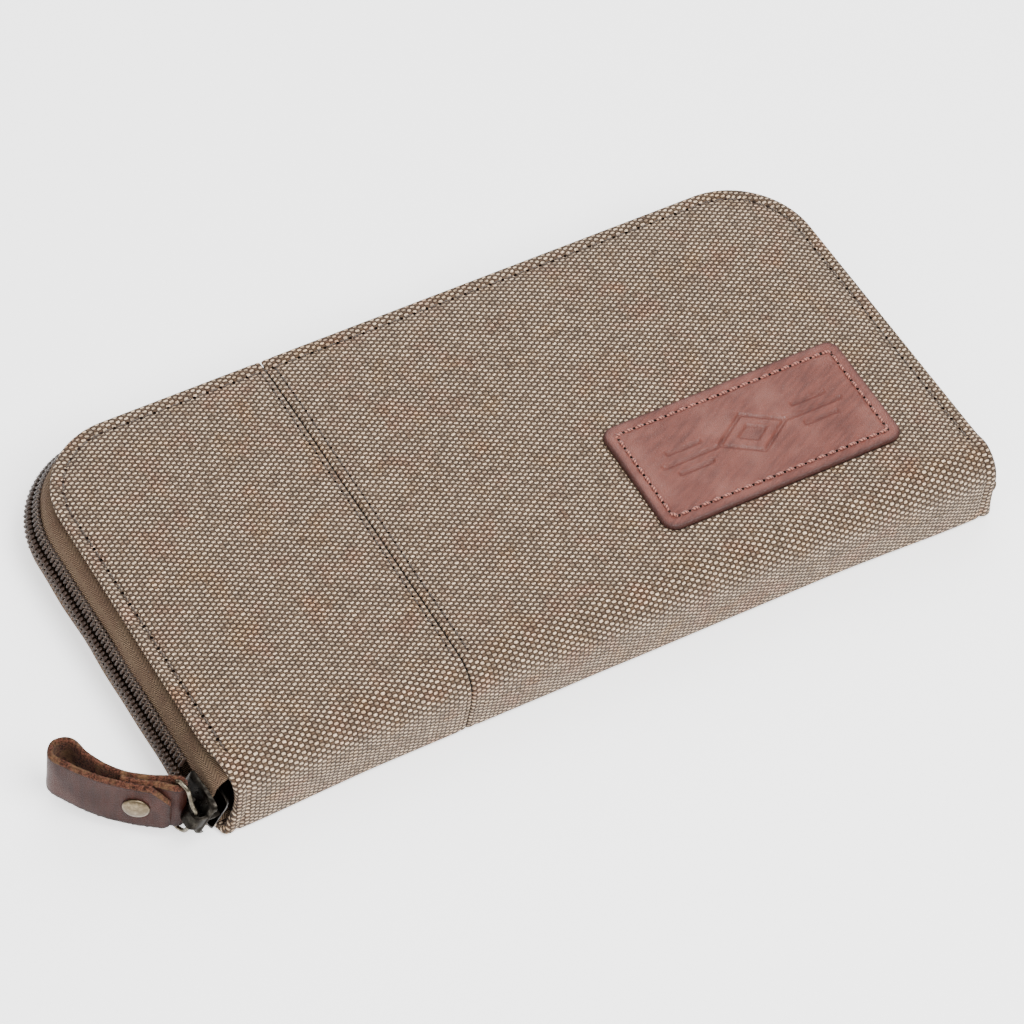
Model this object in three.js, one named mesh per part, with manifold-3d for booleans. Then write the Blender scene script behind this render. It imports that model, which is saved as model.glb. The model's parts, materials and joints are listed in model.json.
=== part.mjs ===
// A zip-around canvas wallet, closed and lying on its underside.
// Millimetres. +X runs along the spine, +Y from the spine to the long zipped edge, +Z up.
// The origin is the centre of the flat underside.
//
// The wallet is a book: a base cover, a spine and a lid. A zip runs from the spine up the left end,
// along the back and down the right end. The slider is at its closed end, on the left beside the spine,
// and its leather pull stands out from the left end. Inside are card slots on the lid, and a note pocket
// and a zipped coin pocket on the base.
import * as THREE from "three";
import { mergeVertices } from "three/addons/utils/BufferGeometryUtils.js";
import Module from "manifold-3d";

const wasm = await Module();
wasm.setup();

// ---- Driving dimensions ----
const THICKNESS = 20; // closed, over the canvas
const MIDDLE = THICKNESS / 2; // height of the zip's meeting line
const LID_HALF_LENGTH = 97;
const BASE_OVERHANG = 2; // the base cover stands out past the lid by this much
const SPINE_FRONT = -49; // outer face of the spine
const LID_BACK = 48;
const CORNER_RADIUS = 20; // of the lid's two back corners
const CORNER_STEPS = 10;
const SEAM_X = -37.2; // joint between the end panel and the main panel
const GAP = 0.3; // between curved or turning neighbours
const LAYER_GAP = 0.1; // between layers that are sewn flat together

const CANVAS = 1.0;
const BOARD = 0.9;
const TAPE = 0.5;
const LINING = 0.4;
const POCKET_CLOTH = 0.5;
const THREAD = 0.5;
const LEATHER = 1.2;

const COVER_FRONT = SPINE_FRONT + 1; // front edge of the two flat covers
const LAYER_FRONT = SPINE_FRONT + 5; // boards and linings stop here, clear of the folds
const FOLD_INSET = 1.5; // both fold lines lie this far in from the outer corner
const SPINE_LOW = FOLD_INSET + 1.1;

// Zip, measured outwards (n) from the lid's edge and up or down (dz) from the meeting line.
const CHAIN_IN = 1.9;
const CHAIN_OUT = 3.9;
const CHAIN_NEAR = 0.65; // each row of teeth starts this far from the meeting line
const CHAIN_FAR = 2.65;
const TAPE_N = 2.65; // inner face of the tape where it stands upright
const TAPE_BEND = 5.1; // dz at which the tape turns in towards its cover
const TAPE_ROOT = 7; // how far the tape reaches in under the lining
const ZIP_FRONT = -47;
const ZIP_END_FRONT = -43.4; // where the chain stops at its open end, on the right
const SLIDER_FRONT = -50.5;
const SLIDER_LENGTH = 11;
const BASE_CHAIN_FRONT = SLIDER_FRONT + SLIDER_LENGTH + 0.5;
const LID_CHAIN_FRONT = BASE_CHAIN_FRONT + 4.2; // clears the slider as the spine folds open
const SLIDER_HALF_WIDTH = 4.4;
const PLATE = 0.8;
const CHANNEL_GAP = 0.35;
const CHANNEL_HALF_WIDTH = 3.4;
const POST_HALF = 0.35;
const CROWN_START = 0.5;
const CROWN_CLEARANCE = 1.7;
const CROWN_BAR = 0.7;

// Leather pull and its metal link, which swing about upright axes.
const LINK_WIRE = 1.0;
const LINK_LENGTH = 5.54; // between its two upright bars
const LINK_NEAR_HALF = 3;
const LINK_FAR_HALF = 8.9;
const LINK_HEADING = 111.6; // degrees from +X
const PULL_HEADING = 155;
const PULL_HEIGHT = 14;
const PULL_RAISE = 0.5; // its middle lies this far above the meeting line
const PULL_LENGTH = 29.9;
const PULL_RADIUS = 28.6; // the strap's sideways curve
const PULL_CURVE_START = 2.4;
const PULL_CURVE_END = 24.4;
const RIVET_U = 8.4;
const RIVET_RADIUS = 3.2;

const LABEL = { x: 20.3, y: -34.7, length: 62.3, width: 31, thickness: 1.6, radius: 3.5 };

// Inside pockets.
const POCKET_HALF_LENGTH = 88;
const POCKET_FRONT = -42;
const COIN_ZIP_Y = 16;
const COIN_CHAIN_START = -70;
const COIN_CHAIN_END = 78;

// ---- Materials ----
const material = (color, roughness, metalness = 0) =>
  new THREE.MeshStandardMaterial({ color, roughness, metalness });
const canvasCloth = material(0x9a8672, 0.95);
const tapeCloth = material(0x7b6750, 0.85);
const liningCloth = material(0x4a3a2c, 0.9);
const boardStock = material(0x8f8270, 0.95);
const brownLeather = material(0x85554b, 0.5);
const pocketLeather = material(0x5c4033, 0.6);
const brownThread = material(0x6a4a38, 0.8);
const coilNylon = material(0x3e2c22, 0.45);
const darkMetal = material(0x4b443c, 0.35, 0.9);
const brassMetal = material(0xb3a184, 0.3, 0.9);

const wallet = new THREE.Group();
function add(name, geometry, look, parent = wallet) {
  const mesh = new THREE.Mesh(geometry, look);
  mesh.name = name;
  parent.add(mesh);
  return mesh;
}

// ---- Shape helpers ----
// A panel outline in plan. The back corners are rounded by the radii given.
function panelShape(left, right, front, back, leftRadius = 0, rightRadius = 0) {
  const shape = new THREE.Shape();
  shape.moveTo(left, front);
  shape.lineTo(right, front);
  shape.lineTo(right, back - rightRadius);
  if (rightRadius) shape.absarc(right - rightRadius, back - rightRadius, rightRadius, 0, Math.PI / 2);
  shape.lineTo(left + leftRadius, back);
  if (leftRadius) shape.absarc(left + leftRadius, back - leftRadius, leftRadius, Math.PI / 2, Math.PI);
  return shape;
}

function extrudeUp(shape, z, depth, curveSegments = CORNER_STEPS) {
  return new THREE.ExtrudeGeometry(shape, { depth, bevelEnabled: false, curveSegments }).translate(0, 0, z);
}

function roundedRect(x, y, length, width, radius) {
  const shape = new THREE.Shape();
  const corners = [
    [x + length - radius, y + radius, -Math.PI / 2],
    [x + length - radius, y + width - radius, 0],
    [x + radius, y + width - radius, Math.PI / 2],
    [x + radius, y + radius, Math.PI],
  ];
  for (const [cx, cy, from] of corners) shape.absarc(cx, cy, radius, from, from + Math.PI / 2);
  return shape;
}

// A closed outline through points in order.
const outline = (points) => new THREE.Shape(points.map(([x, y]) => new THREE.Vector2(x, y)));

// Places round the three zipped sides, `inset` in from the lid's edge: up the left end, round the corner,
// along the back and down the right end. `angle` is the direction outwards.
function railStations(inset, front, endFront) {
  const radius = CORNER_RADIUS - inset;
  const sideX = LID_HALF_LENGTH - inset;
  const cornerX = LID_HALF_LENGTH - CORNER_RADIUS;
  const cornerY = LID_BACK - CORNER_RADIUS;
  const stations = [{ x: -sideX, y: front, angle: Math.PI }];
  for (const [x, from] of [[-cornerX, Math.PI], [cornerX, Math.PI / 2]]) {
    for (let step = 0; step <= CORNER_STEPS; step++) {
      const angle = from - ((Math.PI / 2) * step) / CORNER_STEPS;
      stations.push({ x: x + radius * Math.cos(angle), y: cornerY + radius * Math.sin(angle), angle });
    }
  }
  stations.push({ x: sideX, y: endFront, angle: 0 });
  return stations;
}

// Sweeps a section round the three zipped sides. A section is points [n, dz], anticlockwise, with n
// outwards from the rail and dz upwards from z.
function sweepRail(section, { inset = 0, z = MIDDLE, front = ZIP_FRONT, endFront = front } = {}) {
  const stations = railStations(inset, front, endFront);
  const place = ({ x, y, angle }, [n, dz]) => [x + n * Math.cos(angle), y + n * Math.sin(angle), z + dz];
  const points = stations.flatMap((station) => section.flatMap((corner) => place(station, corner)));
  const count = section.length;
  const end = (stations.length - 1) * count;
  const cap = THREE.ShapeUtils.triangulateShape(section.map(([n, dz]) => new THREE.Vector2(n, dz)), []);
  const faces = cap.flatMap(([a, b, c]) => [a, c, b, end + a, end + b, end + c]);
  for (let ring = 0; ring < end; ring += count) {
    for (let corner = 0; corner < count; corner++) {
      const a = ring + corner;
      const b = ring + ((corner + 1) % count);
      faces.push(a, b, b + count, a, b + count, a + count);
    }
  }
  return new THREE.BufferGeometry()
    .setAttribute("position", new THREE.Float32BufferAttribute(points, 3))
    .setIndex(faces);
}

// The same section on the lid's side (sign 1) and on the base's side (sign -1) of the meeting line.
function flipped(section, sign) {
  const turned = section.map(([n, dz]) => [n, sign * dz]);
  return sign < 0 ? turned.reverse() : turned;
}

// ---- Solids by cutting and joining ----
function solidOf(geometry) {
  const bare = geometry.clone();
  bare.deleteAttribute("normal");
  bare.deleteAttribute("uv");
  const merged = mergeVertices(bare, 1e-4);
  return new wasm.Manifold(
    new wasm.Mesh({
      numProp: 3,
      vertProperties: merged.attributes.position.array,
      triVerts: new Uint32Array(merged.index.array),
    }),
  );
}

function geometryOf(solid) {
  const mesh = solid.getMesh();
  return new THREE.BufferGeometry()
    .setAttribute("position", new THREE.BufferAttribute(new Float32Array(mesh.vertProperties), 3))
    .setIndex(new THREE.BufferAttribute(new Uint32Array(mesh.triVerts), 1));
}

// A box between two corners.
function boxBetween([x0, y0, z0], [x1, y1, z1]) {
  return new THREE.BoxGeometry(x1 - x0, y1 - y0, z1 - z0).translate(
    (x0 + x1) / 2,
    (y0 + y1) / 2,
    (z0 + z1) / 2,
  );
}

// ---- Covers and spine ----
// One cover: canvas in two panels, then the board and the lining inside it.
// `low` gives the bottom of a layer that lies `depth` in from the outer face.
function addCover(side, overhang, low) {
  const half = LID_HALF_LENGTH + overhang;
  const back = LID_BACK + overhang;
  const radius = CORNER_RADIUS + overhang;
  const boardInset = 3;
  const liningInset = 2.5 + overhang;
  let depth = 0;
  const endPanel = panelShape(-half, SEAM_X, COVER_FRONT, back, radius, 0);
  const mainPanel = panelShape(SEAM_X + GAP, half, COVER_FRONT, back, 0, radius);
  add(side + "_canvas_end_panel", extrudeUp(endPanel, low(depth, CANVAS), CANVAS), canvasCloth);
  add(side + "_canvas_main_panel", extrudeUp(mainPanel, low(depth, CANVAS), CANVAS), canvasCloth);
  depth += CANVAS + LAYER_GAP;
  const inner = (inset) =>
    panelShape(-half + inset, half - inset, LAYER_FRONT, back - inset, radius - inset, radius - inset);
  add(side + "_board", extrudeUp(inner(boardInset), low(depth, BOARD), BOARD), boardStock);
  depth += BOARD + LAYER_GAP + TAPE + 2 * LAYER_GAP;
  add(side + "_lining", extrudeUp(inner(liningInset), low(depth, LINING), LINING), liningCloth);
}

function addSpine() {
  const high = THICKNESS - SPINE_LOW;
  const slab = (left, right, front, back, inset = 0) =>
    boxBetween([left, front, SPINE_LOW + inset], [right, back, high - inset]);
  const clothBack = SPINE_FRONT + CANVAS;
  const liningFront = clothBack + LAYER_GAP;
  add("spine_canvas_end_panel", slab(-LID_HALF_LENGTH, SEAM_X, SPINE_FRONT, clothBack), canvasCloth);
  add("spine_canvas_main_panel", slab(SEAM_X + GAP, LID_HALF_LENGTH, SPINE_FRONT, clothBack), canvasCloth);
  const liningHalf = LID_HALF_LENGTH - 1;
  add("spine_lining", slab(-liningHalf, liningHalf, liningFront, liningFront + LINING, 0.2), liningCloth);
}

// ---- Zip round three sides ----
function addZipHalf(side, sign) {
  const rootTop = MIDDLE - CANVAS - BOARD - 2 * LAYER_GAP; // dz of the tape's outer face where it is sewn in
  const turn = sign < 0 ? BASE_OVERHANG : 0;
  const tape = [
    [turn - TAPE_ROOT, rootTop],
    [turn - TAPE_ROOT, rootTop - TAPE],
    [turn - 1.2, rootTop - TAPE],
    [TAPE_N, TAPE_BEND],
    [TAPE_N, CHAIN_FAR + 0.15],
    [TAPE_N + TAPE, CHAIN_FAR + 0.15],
    [TAPE_N + TAPE, TAPE_BEND + TAPE * 0.6],
    [turn - 0.8, rootTop],
  ];
  add("zip_tape_" + side, sweepRail(flipped(tape, sign)), tapeCloth);
  const chain = [
    [CHAIN_IN, CHAIN_FAR],
    [CHAIN_IN, CHAIN_NEAR],
    [CHAIN_OUT, CHAIN_NEAR],
    [CHAIN_OUT, CHAIN_FAR],
  ];
  const front = sign < 0 ? BASE_CHAIN_FRONT : LID_CHAIN_FRONT;
  const teeth = sweepRail(flipped(chain, sign), { front, endFront: ZIP_END_FRONT });
  add("zip_teeth_" + side, teeth, coilNylon);
}

// A block clamped on the base's tape, which stops the slider.
function addZipStop(name, side, yFrom, yTo) {
  const across = [CHAIN_IN, CHAIN_OUT].map((n) => side * (LID_HALF_LENGTH + n)).sort((a, b) => a - b);
  const low = MIDDLE - CHAIN_FAR;
  const high = MIDDLE - CHAIN_NEAR;
  add(name, boxBetween([across[0], yFrom, low], [across[1], yTo, high]), darkMetal);
}

// ---- Slider ----
// Built with x as outwards from the lid's edge, then turned to face the left end.
function addSlider() {
  const inner = CHAIN_IN - CHANNEL_GAP - PLATE;
  const outer = CHAIN_OUT + CHANNEL_GAP + PLATE;
  const slotHalf = 0.6;
  const slotMiddle = TAPE_N + TAPE / 2;
  const waist = SLIDER_HALF_WIDTH - 0.5;
  const nose = 1.2;
  // Plan of the two plates, along the travel (x here) and across the chain (y here).
  const plan = outline([
    [0, -SLIDER_HALF_WIDTH + nose],
    [nose, -SLIDER_HALF_WIDTH],
    [SLIDER_LENGTH * 0.55, -SLIDER_HALF_WIDTH],
    [SLIDER_LENGTH * 0.7, -waist],
    [SLIDER_LENGTH, -waist],
    [SLIDER_LENGTH, waist],
    [SLIDER_LENGTH * 0.7, waist],
    [SLIDER_LENGTH * 0.55, SLIDER_HALF_WIDTH],
    [nose, SLIDER_HALF_WIDTH],
    [0, SLIDER_HALF_WIDTH - nose],
  ]);
  const slab = new THREE.ExtrudeGeometry(plan, { depth: outer - inner, bevelEnabled: false });
  const past = 1; // how far a cutter runs past the body
  const channel = boxBetween(
    [-past, -CHANNEL_HALF_WIDTH, PLATE],
    [SLIDER_LENGTH + past, CHANNEL_HALF_WIDTH, outer - inner - PLATE],
  );
  const slot = boxBetween(
    [-past, -SLIDER_HALF_WIDTH - past, slotMiddle - inner - slotHalf],
    [SLIDER_LENGTH + past, SLIDER_HALF_WIDTH + past, slotMiddle - inner + slotHalf],
  );
  const post = boxBetween([0.3, -POST_HALF, PLATE / 2], [3.8, POST_HALF, outer - inner - PLATE / 2]);
  const body = solidOf(slab).subtract(solidOf(channel)).subtract(solidOf(slot)).add(solidOf(post));

  const crownStart = CROWN_START;
  const crownEnd = SLIDER_LENGTH - 4.6;
  const rise = CROWN_CLEARANCE + CROWN_BAR;
  const crown = outline([
    [crownStart, 0],
    [crownStart + CROWN_BAR, 0],
    [crownStart + CROWN_BAR, CROWN_CLEARANCE],
    [crownEnd - 2.4, CROWN_CLEARANCE],
    [crownEnd - 1.6, 0],
    [crownEnd, 0],
    [crownEnd - 1.3, rise - 0.5],
    [crownEnd - 2.2, rise],
    [crownStart + 0.9, rise],
    [crownStart, rise - 0.9],
  ]);
  const crownHalf = 1.3;
  const bridge = new THREE.ExtrudeGeometry(crown, { depth: 2 * crownHalf, bevelEnabled: false })
    .rotateX(Math.PI / 2)
    .translate(0, crownHalf, outer - inner + LAYER_GAP);

  // Local x runs to +Y, local z to -X, local y to +Z... as a right-handed turn.
  const turn = new THREE.Matrix4().makeBasis(
    new THREE.Vector3(0, 1, 0),
    new THREE.Vector3(0, 0, -1),
    new THREE.Vector3(-1, 0, 0),
  );
  const group = new THREE.Group();
  group.applyMatrix4(turn);
  group.position.set(-LID_HALF_LENGTH - inner, SLIDER_FRONT, MIDDLE);
  add("zip_slider_body", geometryOf(body), darkMetal, group);
  add("zip_slider_crown", bridge, darkMetal, group);
  wallet.add(group);
  return outer;
}

// ---- Link and leather pull ----
const turnZ = (degrees) => (degrees * Math.PI) / 180;

// A ring of flat wire, narrow under the crown and wide where it holds the leather.
function linkGeometry() {
  const half = LINK_WIRE / 2;
  const rail = 1.1;
  const shoulder = 2.4;
  const ring = (near, nearHalf, bend, far, farHalf) => [
    [near, -nearHalf],
    [bend, -farHalf],
    [far, -farHalf],
    [far, farHalf],
    [bend, farHalf],
    [near, nearHalf],
  ];
  const shape = outline(ring(-half, LINK_NEAR_HALF, shoulder, LINK_LENGTH + half, LINK_FAR_HALF));
  const innerNear = LINK_NEAR_HALF - LINK_WIRE;
  const inside = ring(half, innerNear, shoulder + rail / 2, LINK_LENGTH - half, LINK_FAR_HALF - rail);
  shape.holes.push(new THREE.Path(inside.map(([x, y]) => new THREE.Vector2(x, y))));
  return new THREE.ExtrudeGeometry(shape, { depth: LINK_WIRE, bevelEnabled: false })
    .translate(0, 0, -half)
    .rotateX(Math.PI / 2);
}

// Half the thickness of leather, laid in plan on both sides of a centre line.
function stripOutline(centre) {
  const left = [];
  const right = [];
  centre.forEach((p, i) => {
    const before = centre[Math.max(i - 1, 0)];
    const after = centre[Math.min(i + 1, centre.length - 1)];
    const along = new THREE.Vector2().subVectors(after, before).normalize();
    left.push([p.x - (along.y * LEATHER) / 2, p.y + (along.x * LEATHER) / 2]);
    right.unshift([p.x + (along.y * LEATHER) / 2, p.y - (along.x * LEATHER) / 2]);
  });
  return outline([...left, ...right]);
}

// Lays a place beside the strap's straight line on its sideways curve.
function curvedPlace(u, v) {
  const bent = Math.min(Math.max(u, PULL_CURVE_START), PULL_CURVE_END) - PULL_CURVE_START;
  const angle = bent / PULL_RADIUS;
  const straight = u - PULL_CURVE_START - bent;
  const [cos, sin] = [Math.cos(angle), Math.sin(angle)];
  return new THREE.Vector2(
    PULL_CURVE_START + PULL_RADIUS * sin + straight * cos - v * sin,
    PULL_RADIUS * (1 - cos) + straight * sin + v * cos,
  );
}

// Centre line of the strap in plan, u outwards from the link's bar and v to its rear side. It starts at
// the tip beside the link, runs out along the front, turns back at the far loop, returns along the rear,
// wraps the bar, and ends between the two layers beyond the rivet.
function strapLine() {
  const layer = LEATHER + 0.15;
  const wrap = LINK_WIRE / 2 + GAP + LEATHER / 2;
  const loop = 3;
  const far = PULL_LENGTH - loop - LEATHER / 2;
  const points = [
    [1.4, -layer - 0.85],
    [4.4, -layer - 0.25],
    [RIVET_U, -layer],
    [RIVET_U + 4, -layer],
    [far - 4, -layer - 0.9],
    [far, -loop],
  ];
  for (const angle of [-50, 0, 50]) {
    points.push([far + loop * Math.cos(turnZ(angle)), loop * Math.sin(turnZ(angle))]);
  }
  points.push([far, loop], [far - 4, layer + 0.9]);
  points.push([RIVET_U + 4, layer], [RIVET_U, layer], [3.2, layer + 0.1]);
  for (const angle of [80, 130, 180, 230, 285]) {
    points.push([wrap * Math.cos(turnZ(angle)), wrap * Math.sin(turnZ(angle))]);
  }
  points.push([2.2, -0.75], [4.6, -0.05], [RIVET_U, 0], [RIVET_U + 4, 0]);
  const curve = new THREE.SplineCurve(points.map(([u, v]) => new THREE.Vector2(u, v)));
  return curve.getSpacedPoints(64).map(({ x, y }) => curvedPlace(x, y));
}

function addPull(nearX, nearY) {
  const link = new THREE.Group();
  link.position.set(nearX, nearY, MIDDLE);
  link.rotation.z = turnZ(LINK_HEADING);
  add("pull_link", linkGeometry(), darkMetal, link);
  wallet.add(link);

  const far = new THREE.Vector2(LINK_LENGTH, 0).rotateAround(new THREE.Vector2(), turnZ(LINK_HEADING));
  const pull = new THREE.Group();
  pull.position.set(nearX + far.x, nearY + far.y, MIDDLE);
  // The strap sweeps to the rear, which lies clockwise of its heading.
  pull.rotation.z = turnZ(PULL_HEADING);
  pull.scale.y = -1;
  const strap = extrudeUp(stripOutline(strapLine()), PULL_RAISE - PULL_HEIGHT / 2, PULL_HEIGHT);
  add("pull_leather_strap", strap, brownLeather, pull);

  const rivetPlace = curvedPlace(RIVET_U, 0);
  const rivetTurn = (RIVET_U - PULL_CURVE_START) / PULL_RADIUS;
  const onStrap = (geometry) => geometry.rotateZ(rivetTurn).translate(rivetPlace.x, rivetPlace.y, PULL_RAISE);
  const stack = (3 * LEATHER) / 2 + 0.15 + GAP;
  const dome = (profile) => new THREE.LatheGeometry(profile.map(([x, y]) => new THREE.Vector2(x, y)), 24);
  const cap = dome([
    [0, 0],
    [RIVET_RADIUS, 0],
    [RIVET_RADIUS, 0.4],
    [RIVET_RADIUS * 0.75, 0.95],
    [0, 1.2],
  ]).rotateX(Math.PI);
  add("pull_rivet_cap", onStrap(cap.translate(0, -stack, 0)), brassMetal, pull);
  const back = dome([
    [0, 0],
    [RIVET_RADIUS - 0.3, 0],
    [RIVET_RADIUS - 0.3, 0.5],
    [0, 0.8],
  ]);
  add("pull_rivet_back", onStrap(back.translate(0, stack, 0)), brassMetal, pull);
  wallet.add(pull);
}

// ---- Threads and label on the lid ----
function addLidTrim() {
  const top = THICKNESS + 0.05;
  const flat = [
    [-THREAD / 2, 0],
    [THREAD / 2, 0],
    [THREAD / 2, THREAD * 0.7],
    [-THREAD / 2, THREAD * 0.7],
  ];
  const edge = sweepRail(flat, { inset: 2.8, z: top, front: COVER_FRONT + 6 });
  add("lid_edge_thread", edge, brownThread);
  const seamThread = (x) =>
    boxBetween([x - THREAD / 2, COVER_FRONT + 3, top], [x + THREAD / 2, LID_BACK - 5, top + THREAD * 0.7]);
  add("lid_seam_thread_left", seamThread(SEAM_X - 1.6), brownThread);
  add("lid_seam_thread_right", seamThread(SEAM_X + 2.4), brownThread);

  const { x, y, length, width, thickness, radius } = LABEL;
  const patch = extrudeUp(roundedRect(x, y, length, width, radius), top, thickness, 6);
  add("label_patch", patch, brownLeather);
  const inset = 2.8;
  const stitch = roundedRect(x + inset, y + inset, length - 2 * inset, width - 2 * inset, 1);
  const within = inset + THREAD;
  const hole = roundedRect(x + within, y + within, length - 2 * within, width - 2 * within, 0.6);
  stitch.holes.push(new THREE.Path(hole.getPoints(3)));
  add("label_thread", extrudeUp(stitch, top + thickness + 0.05, THREAD * 0.6, 3), brownThread);
}

// ---- Card slots inside the lid ----
function addCardSlots(liningLow) {
  const rows = 4;
  const firstMouth = 36;
  const step = 10;
  const columnGap = 1;
  const backing = liningLow - LAYER_GAP - POCKET_CLOTH;
  const panel = boxBetween(
    [-POCKET_HALF_LENGTH, POCKET_FRONT, backing],
    [POCKET_HALF_LENGTH, firstMouth + 6, backing + POCKET_CLOTH],
  );
  add("lid_note_pocket", panel, pocketLeather);
  for (let row = 0; row < rows; row++) {
    const low = backing - (row + 1) * (POCKET_CLOTH + LAYER_GAP);
    for (const [column, sign] of [["left", -1], ["right", 1]]) {
      const ends = [sign * columnGap, sign * POCKET_HALF_LENGTH].sort((a, b) => a - b);
      const slot = boxBetween(
        [ends[0], POCKET_FRONT, low],
        [ends[1], firstMouth - row * step, low + POCKET_CLOTH],
      );
      add(`card_slot_${column}_${row + 1}`, slot, pocketLeather);
    }
  }
}

// ---- Note pocket and zipped coin pocket on the base ----
function addCoinPocket(liningHigh) {
  const half = POCKET_HALF_LENGTH;
  const noteLow = liningHigh + LAYER_GAP;
  const noteHigh = noteLow + POCKET_CLOTH;
  add("base_note_pocket", boxBetween([-half, POCKET_FRONT, noteLow], [half, 41, noteHigh]), pocketLeather);

  const plateLow = noteHigh + 0.2;
  const chainLow = plateLow + 0.5 + 0.35;
  const chainHigh = chainLow + 1.6;
  const tapeLow = (chainLow + chainHigh) / 2 - 0.2;
  const plateHigh = chainHigh + 0.35 + 0.5;
  const [near, far] = [0.6, 1.7];
  for (const [side, sign] of [["front", -1], ["back", 1]]) {
    const across = (a, b) => [COIN_ZIP_Y + sign * a, COIN_ZIP_Y + sign * b].sort((p, q) => p - q);
    const band = (a, b, x0, x1, z0, z1) => {
      const [y0, y1] = across(a, b);
      return boxBetween([x0, y0, z0], [x1, y1, z1]);
    };
    const reach = sign < 0 ? COIN_ZIP_Y - POCKET_FRONT : 22;
    add("coin_tape_" + side, band(far + 0.1, 8, -half + 2, half - 2, tapeLow, tapeLow + 0.4), tapeCloth);
    const teeth = band(near, far, COIN_CHAIN_START, COIN_CHAIN_END, chainLow, chainHigh);
    add("coin_teeth_" + side, teeth, coilNylon);
    add("coin_panel_" + side, band(4, reach, -half, half, tapeLow + 0.5, tapeLow + 1), pocketLeather);
  }
  const stop = (x) =>
    boxBetween([x, COIN_ZIP_Y - far, chainLow], [x + 1.4, COIN_ZIP_Y + far, chainHigh]);
  add("coin_end_stop", stop(COIN_CHAIN_END + 0.3), darkMetal);

  const length = 8.5;
  const start = COIN_CHAIN_START - length - 0.3;
  const sliderHalf = 3.2;
  const block = boxBetween(
    [start, COIN_ZIP_Y - sliderHalf, plateLow],
    [start + length, COIN_ZIP_Y + sliderHalf, plateHigh],
  );
  const channel = boxBetween(
    [start - 1, COIN_ZIP_Y - 2.2, chainLow - 0.3],
    [start + length + 1, COIN_ZIP_Y + 2.2, chainHigh + 0.3],
  );
  const slot = boxBetween(
    [start - 1, COIN_ZIP_Y - sliderHalf - 1, tapeLow - 0.35],
    [start + length + 1, COIN_ZIP_Y + sliderHalf + 1, tapeLow + 0.75],
  );
  const post = boxBetween(
    [start + 0.3, COIN_ZIP_Y - 0.3, plateLow + 0.2],
    [start + 3, COIN_ZIP_Y + 0.3, plateHigh - 0.2],
  );
  const body = solidOf(block).subtract(solidOf(channel)).subtract(solidOf(slot)).add(solidOf(post));
  const hub = new THREE.CylinderGeometry(0.7, 0.7, 1.5, 16)
    .rotateX(Math.PI / 2)
    .translate(start + 3.5, COIN_ZIP_Y, plateHigh + 0.55);
  add("coin_slider_body", geometryOf(body.add(solidOf(hub))), darkMetal);

  // A flat tab with an eye, which turns about the slider's stud and lies along the zip.
  const tab = new THREE.Shape();
  tab.absarc(0, 0, 1.9, Math.PI * 0.6, Math.PI * 1.4);
  tab.lineTo(9, -1.5);
  tab.absarc(11, 0, 2.2, -Math.PI * 0.75, Math.PI * 0.75);
  tab.lineTo(9, 1.5);
  const eye = new THREE.Path();
  eye.absarc(0, 0, 0.95, 0, Math.PI * 2, true);
  tab.holes.push(eye);
  const puller = extrudeUp(tab, 0, 0.8, 8).translate(start + 3.5, COIN_ZIP_Y, plateHigh + 0.2);
  add("coin_puller", puller, darkMetal);
}

// ---- Assembly ----
addCover("base", BASE_OVERHANG, (depth) => depth);
addCover("lid", 0, (depth, layer) => THICKNESS - depth - layer);
addSpine();
addZipHalf("lid", 1);
addZipHalf("base", -1);
addZipStop("zip_end_stop", 1, ZIP_END_FRONT - 3.2, ZIP_END_FRONT - 0.3);
const sliderFace = addSlider();
const linkN = sliderFace + LAYER_GAP + CROWN_CLEARANCE / 2;
const linkY = SLIDER_FRONT + CROWN_START + CROWN_BAR + CROWN_CLEARANCE / 2;
addPull(-LID_HALF_LENGTH - linkN, linkY);
addLidTrim();
const liningDepth = CANVAS + BOARD + TAPE + LINING + 4 * LAYER_GAP;
addCardSlots(THICKNESS - liningDepth);
addCoinPocket(liningDepth);

export default wallet;
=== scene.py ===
"""A zip-around canvas wallet with a leather label and pull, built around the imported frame.

Lengths in this script are millimetres in the row frame until a mesh is made, which is in metres.
The lid lies above the zip's meeting line at MIDDLE, and the base below it. In a section, n is outwards
from the lid's edge and dz is upwards from the meeting line.
"""
import json
import math

import bpy
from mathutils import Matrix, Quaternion, Vector, noise


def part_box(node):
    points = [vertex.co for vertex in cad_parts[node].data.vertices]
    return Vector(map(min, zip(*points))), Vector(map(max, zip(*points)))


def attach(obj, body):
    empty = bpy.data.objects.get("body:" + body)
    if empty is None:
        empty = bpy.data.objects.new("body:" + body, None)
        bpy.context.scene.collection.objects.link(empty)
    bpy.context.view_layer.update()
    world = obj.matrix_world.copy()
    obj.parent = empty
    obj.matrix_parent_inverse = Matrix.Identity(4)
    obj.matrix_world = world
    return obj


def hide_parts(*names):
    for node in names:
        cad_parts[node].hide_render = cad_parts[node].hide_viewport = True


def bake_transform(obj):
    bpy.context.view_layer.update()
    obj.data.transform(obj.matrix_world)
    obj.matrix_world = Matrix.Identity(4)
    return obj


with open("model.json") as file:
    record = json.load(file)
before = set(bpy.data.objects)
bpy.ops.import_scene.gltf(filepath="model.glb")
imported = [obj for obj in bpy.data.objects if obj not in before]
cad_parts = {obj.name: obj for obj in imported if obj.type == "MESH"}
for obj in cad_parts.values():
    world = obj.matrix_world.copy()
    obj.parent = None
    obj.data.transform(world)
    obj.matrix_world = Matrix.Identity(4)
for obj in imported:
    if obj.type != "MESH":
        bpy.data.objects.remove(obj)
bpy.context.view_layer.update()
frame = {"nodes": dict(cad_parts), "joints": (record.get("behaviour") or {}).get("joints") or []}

MM = 0.001
UP = Vector((0.0, 0.0, 1.0))
MIDDLE = 10.0
LID_HALF = 97.0
BASE_HALF = 99.0
SPINE_FRONT = -49.0
LID_BACK = 48.0
CORNER_RADIUS = 20.0
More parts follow.
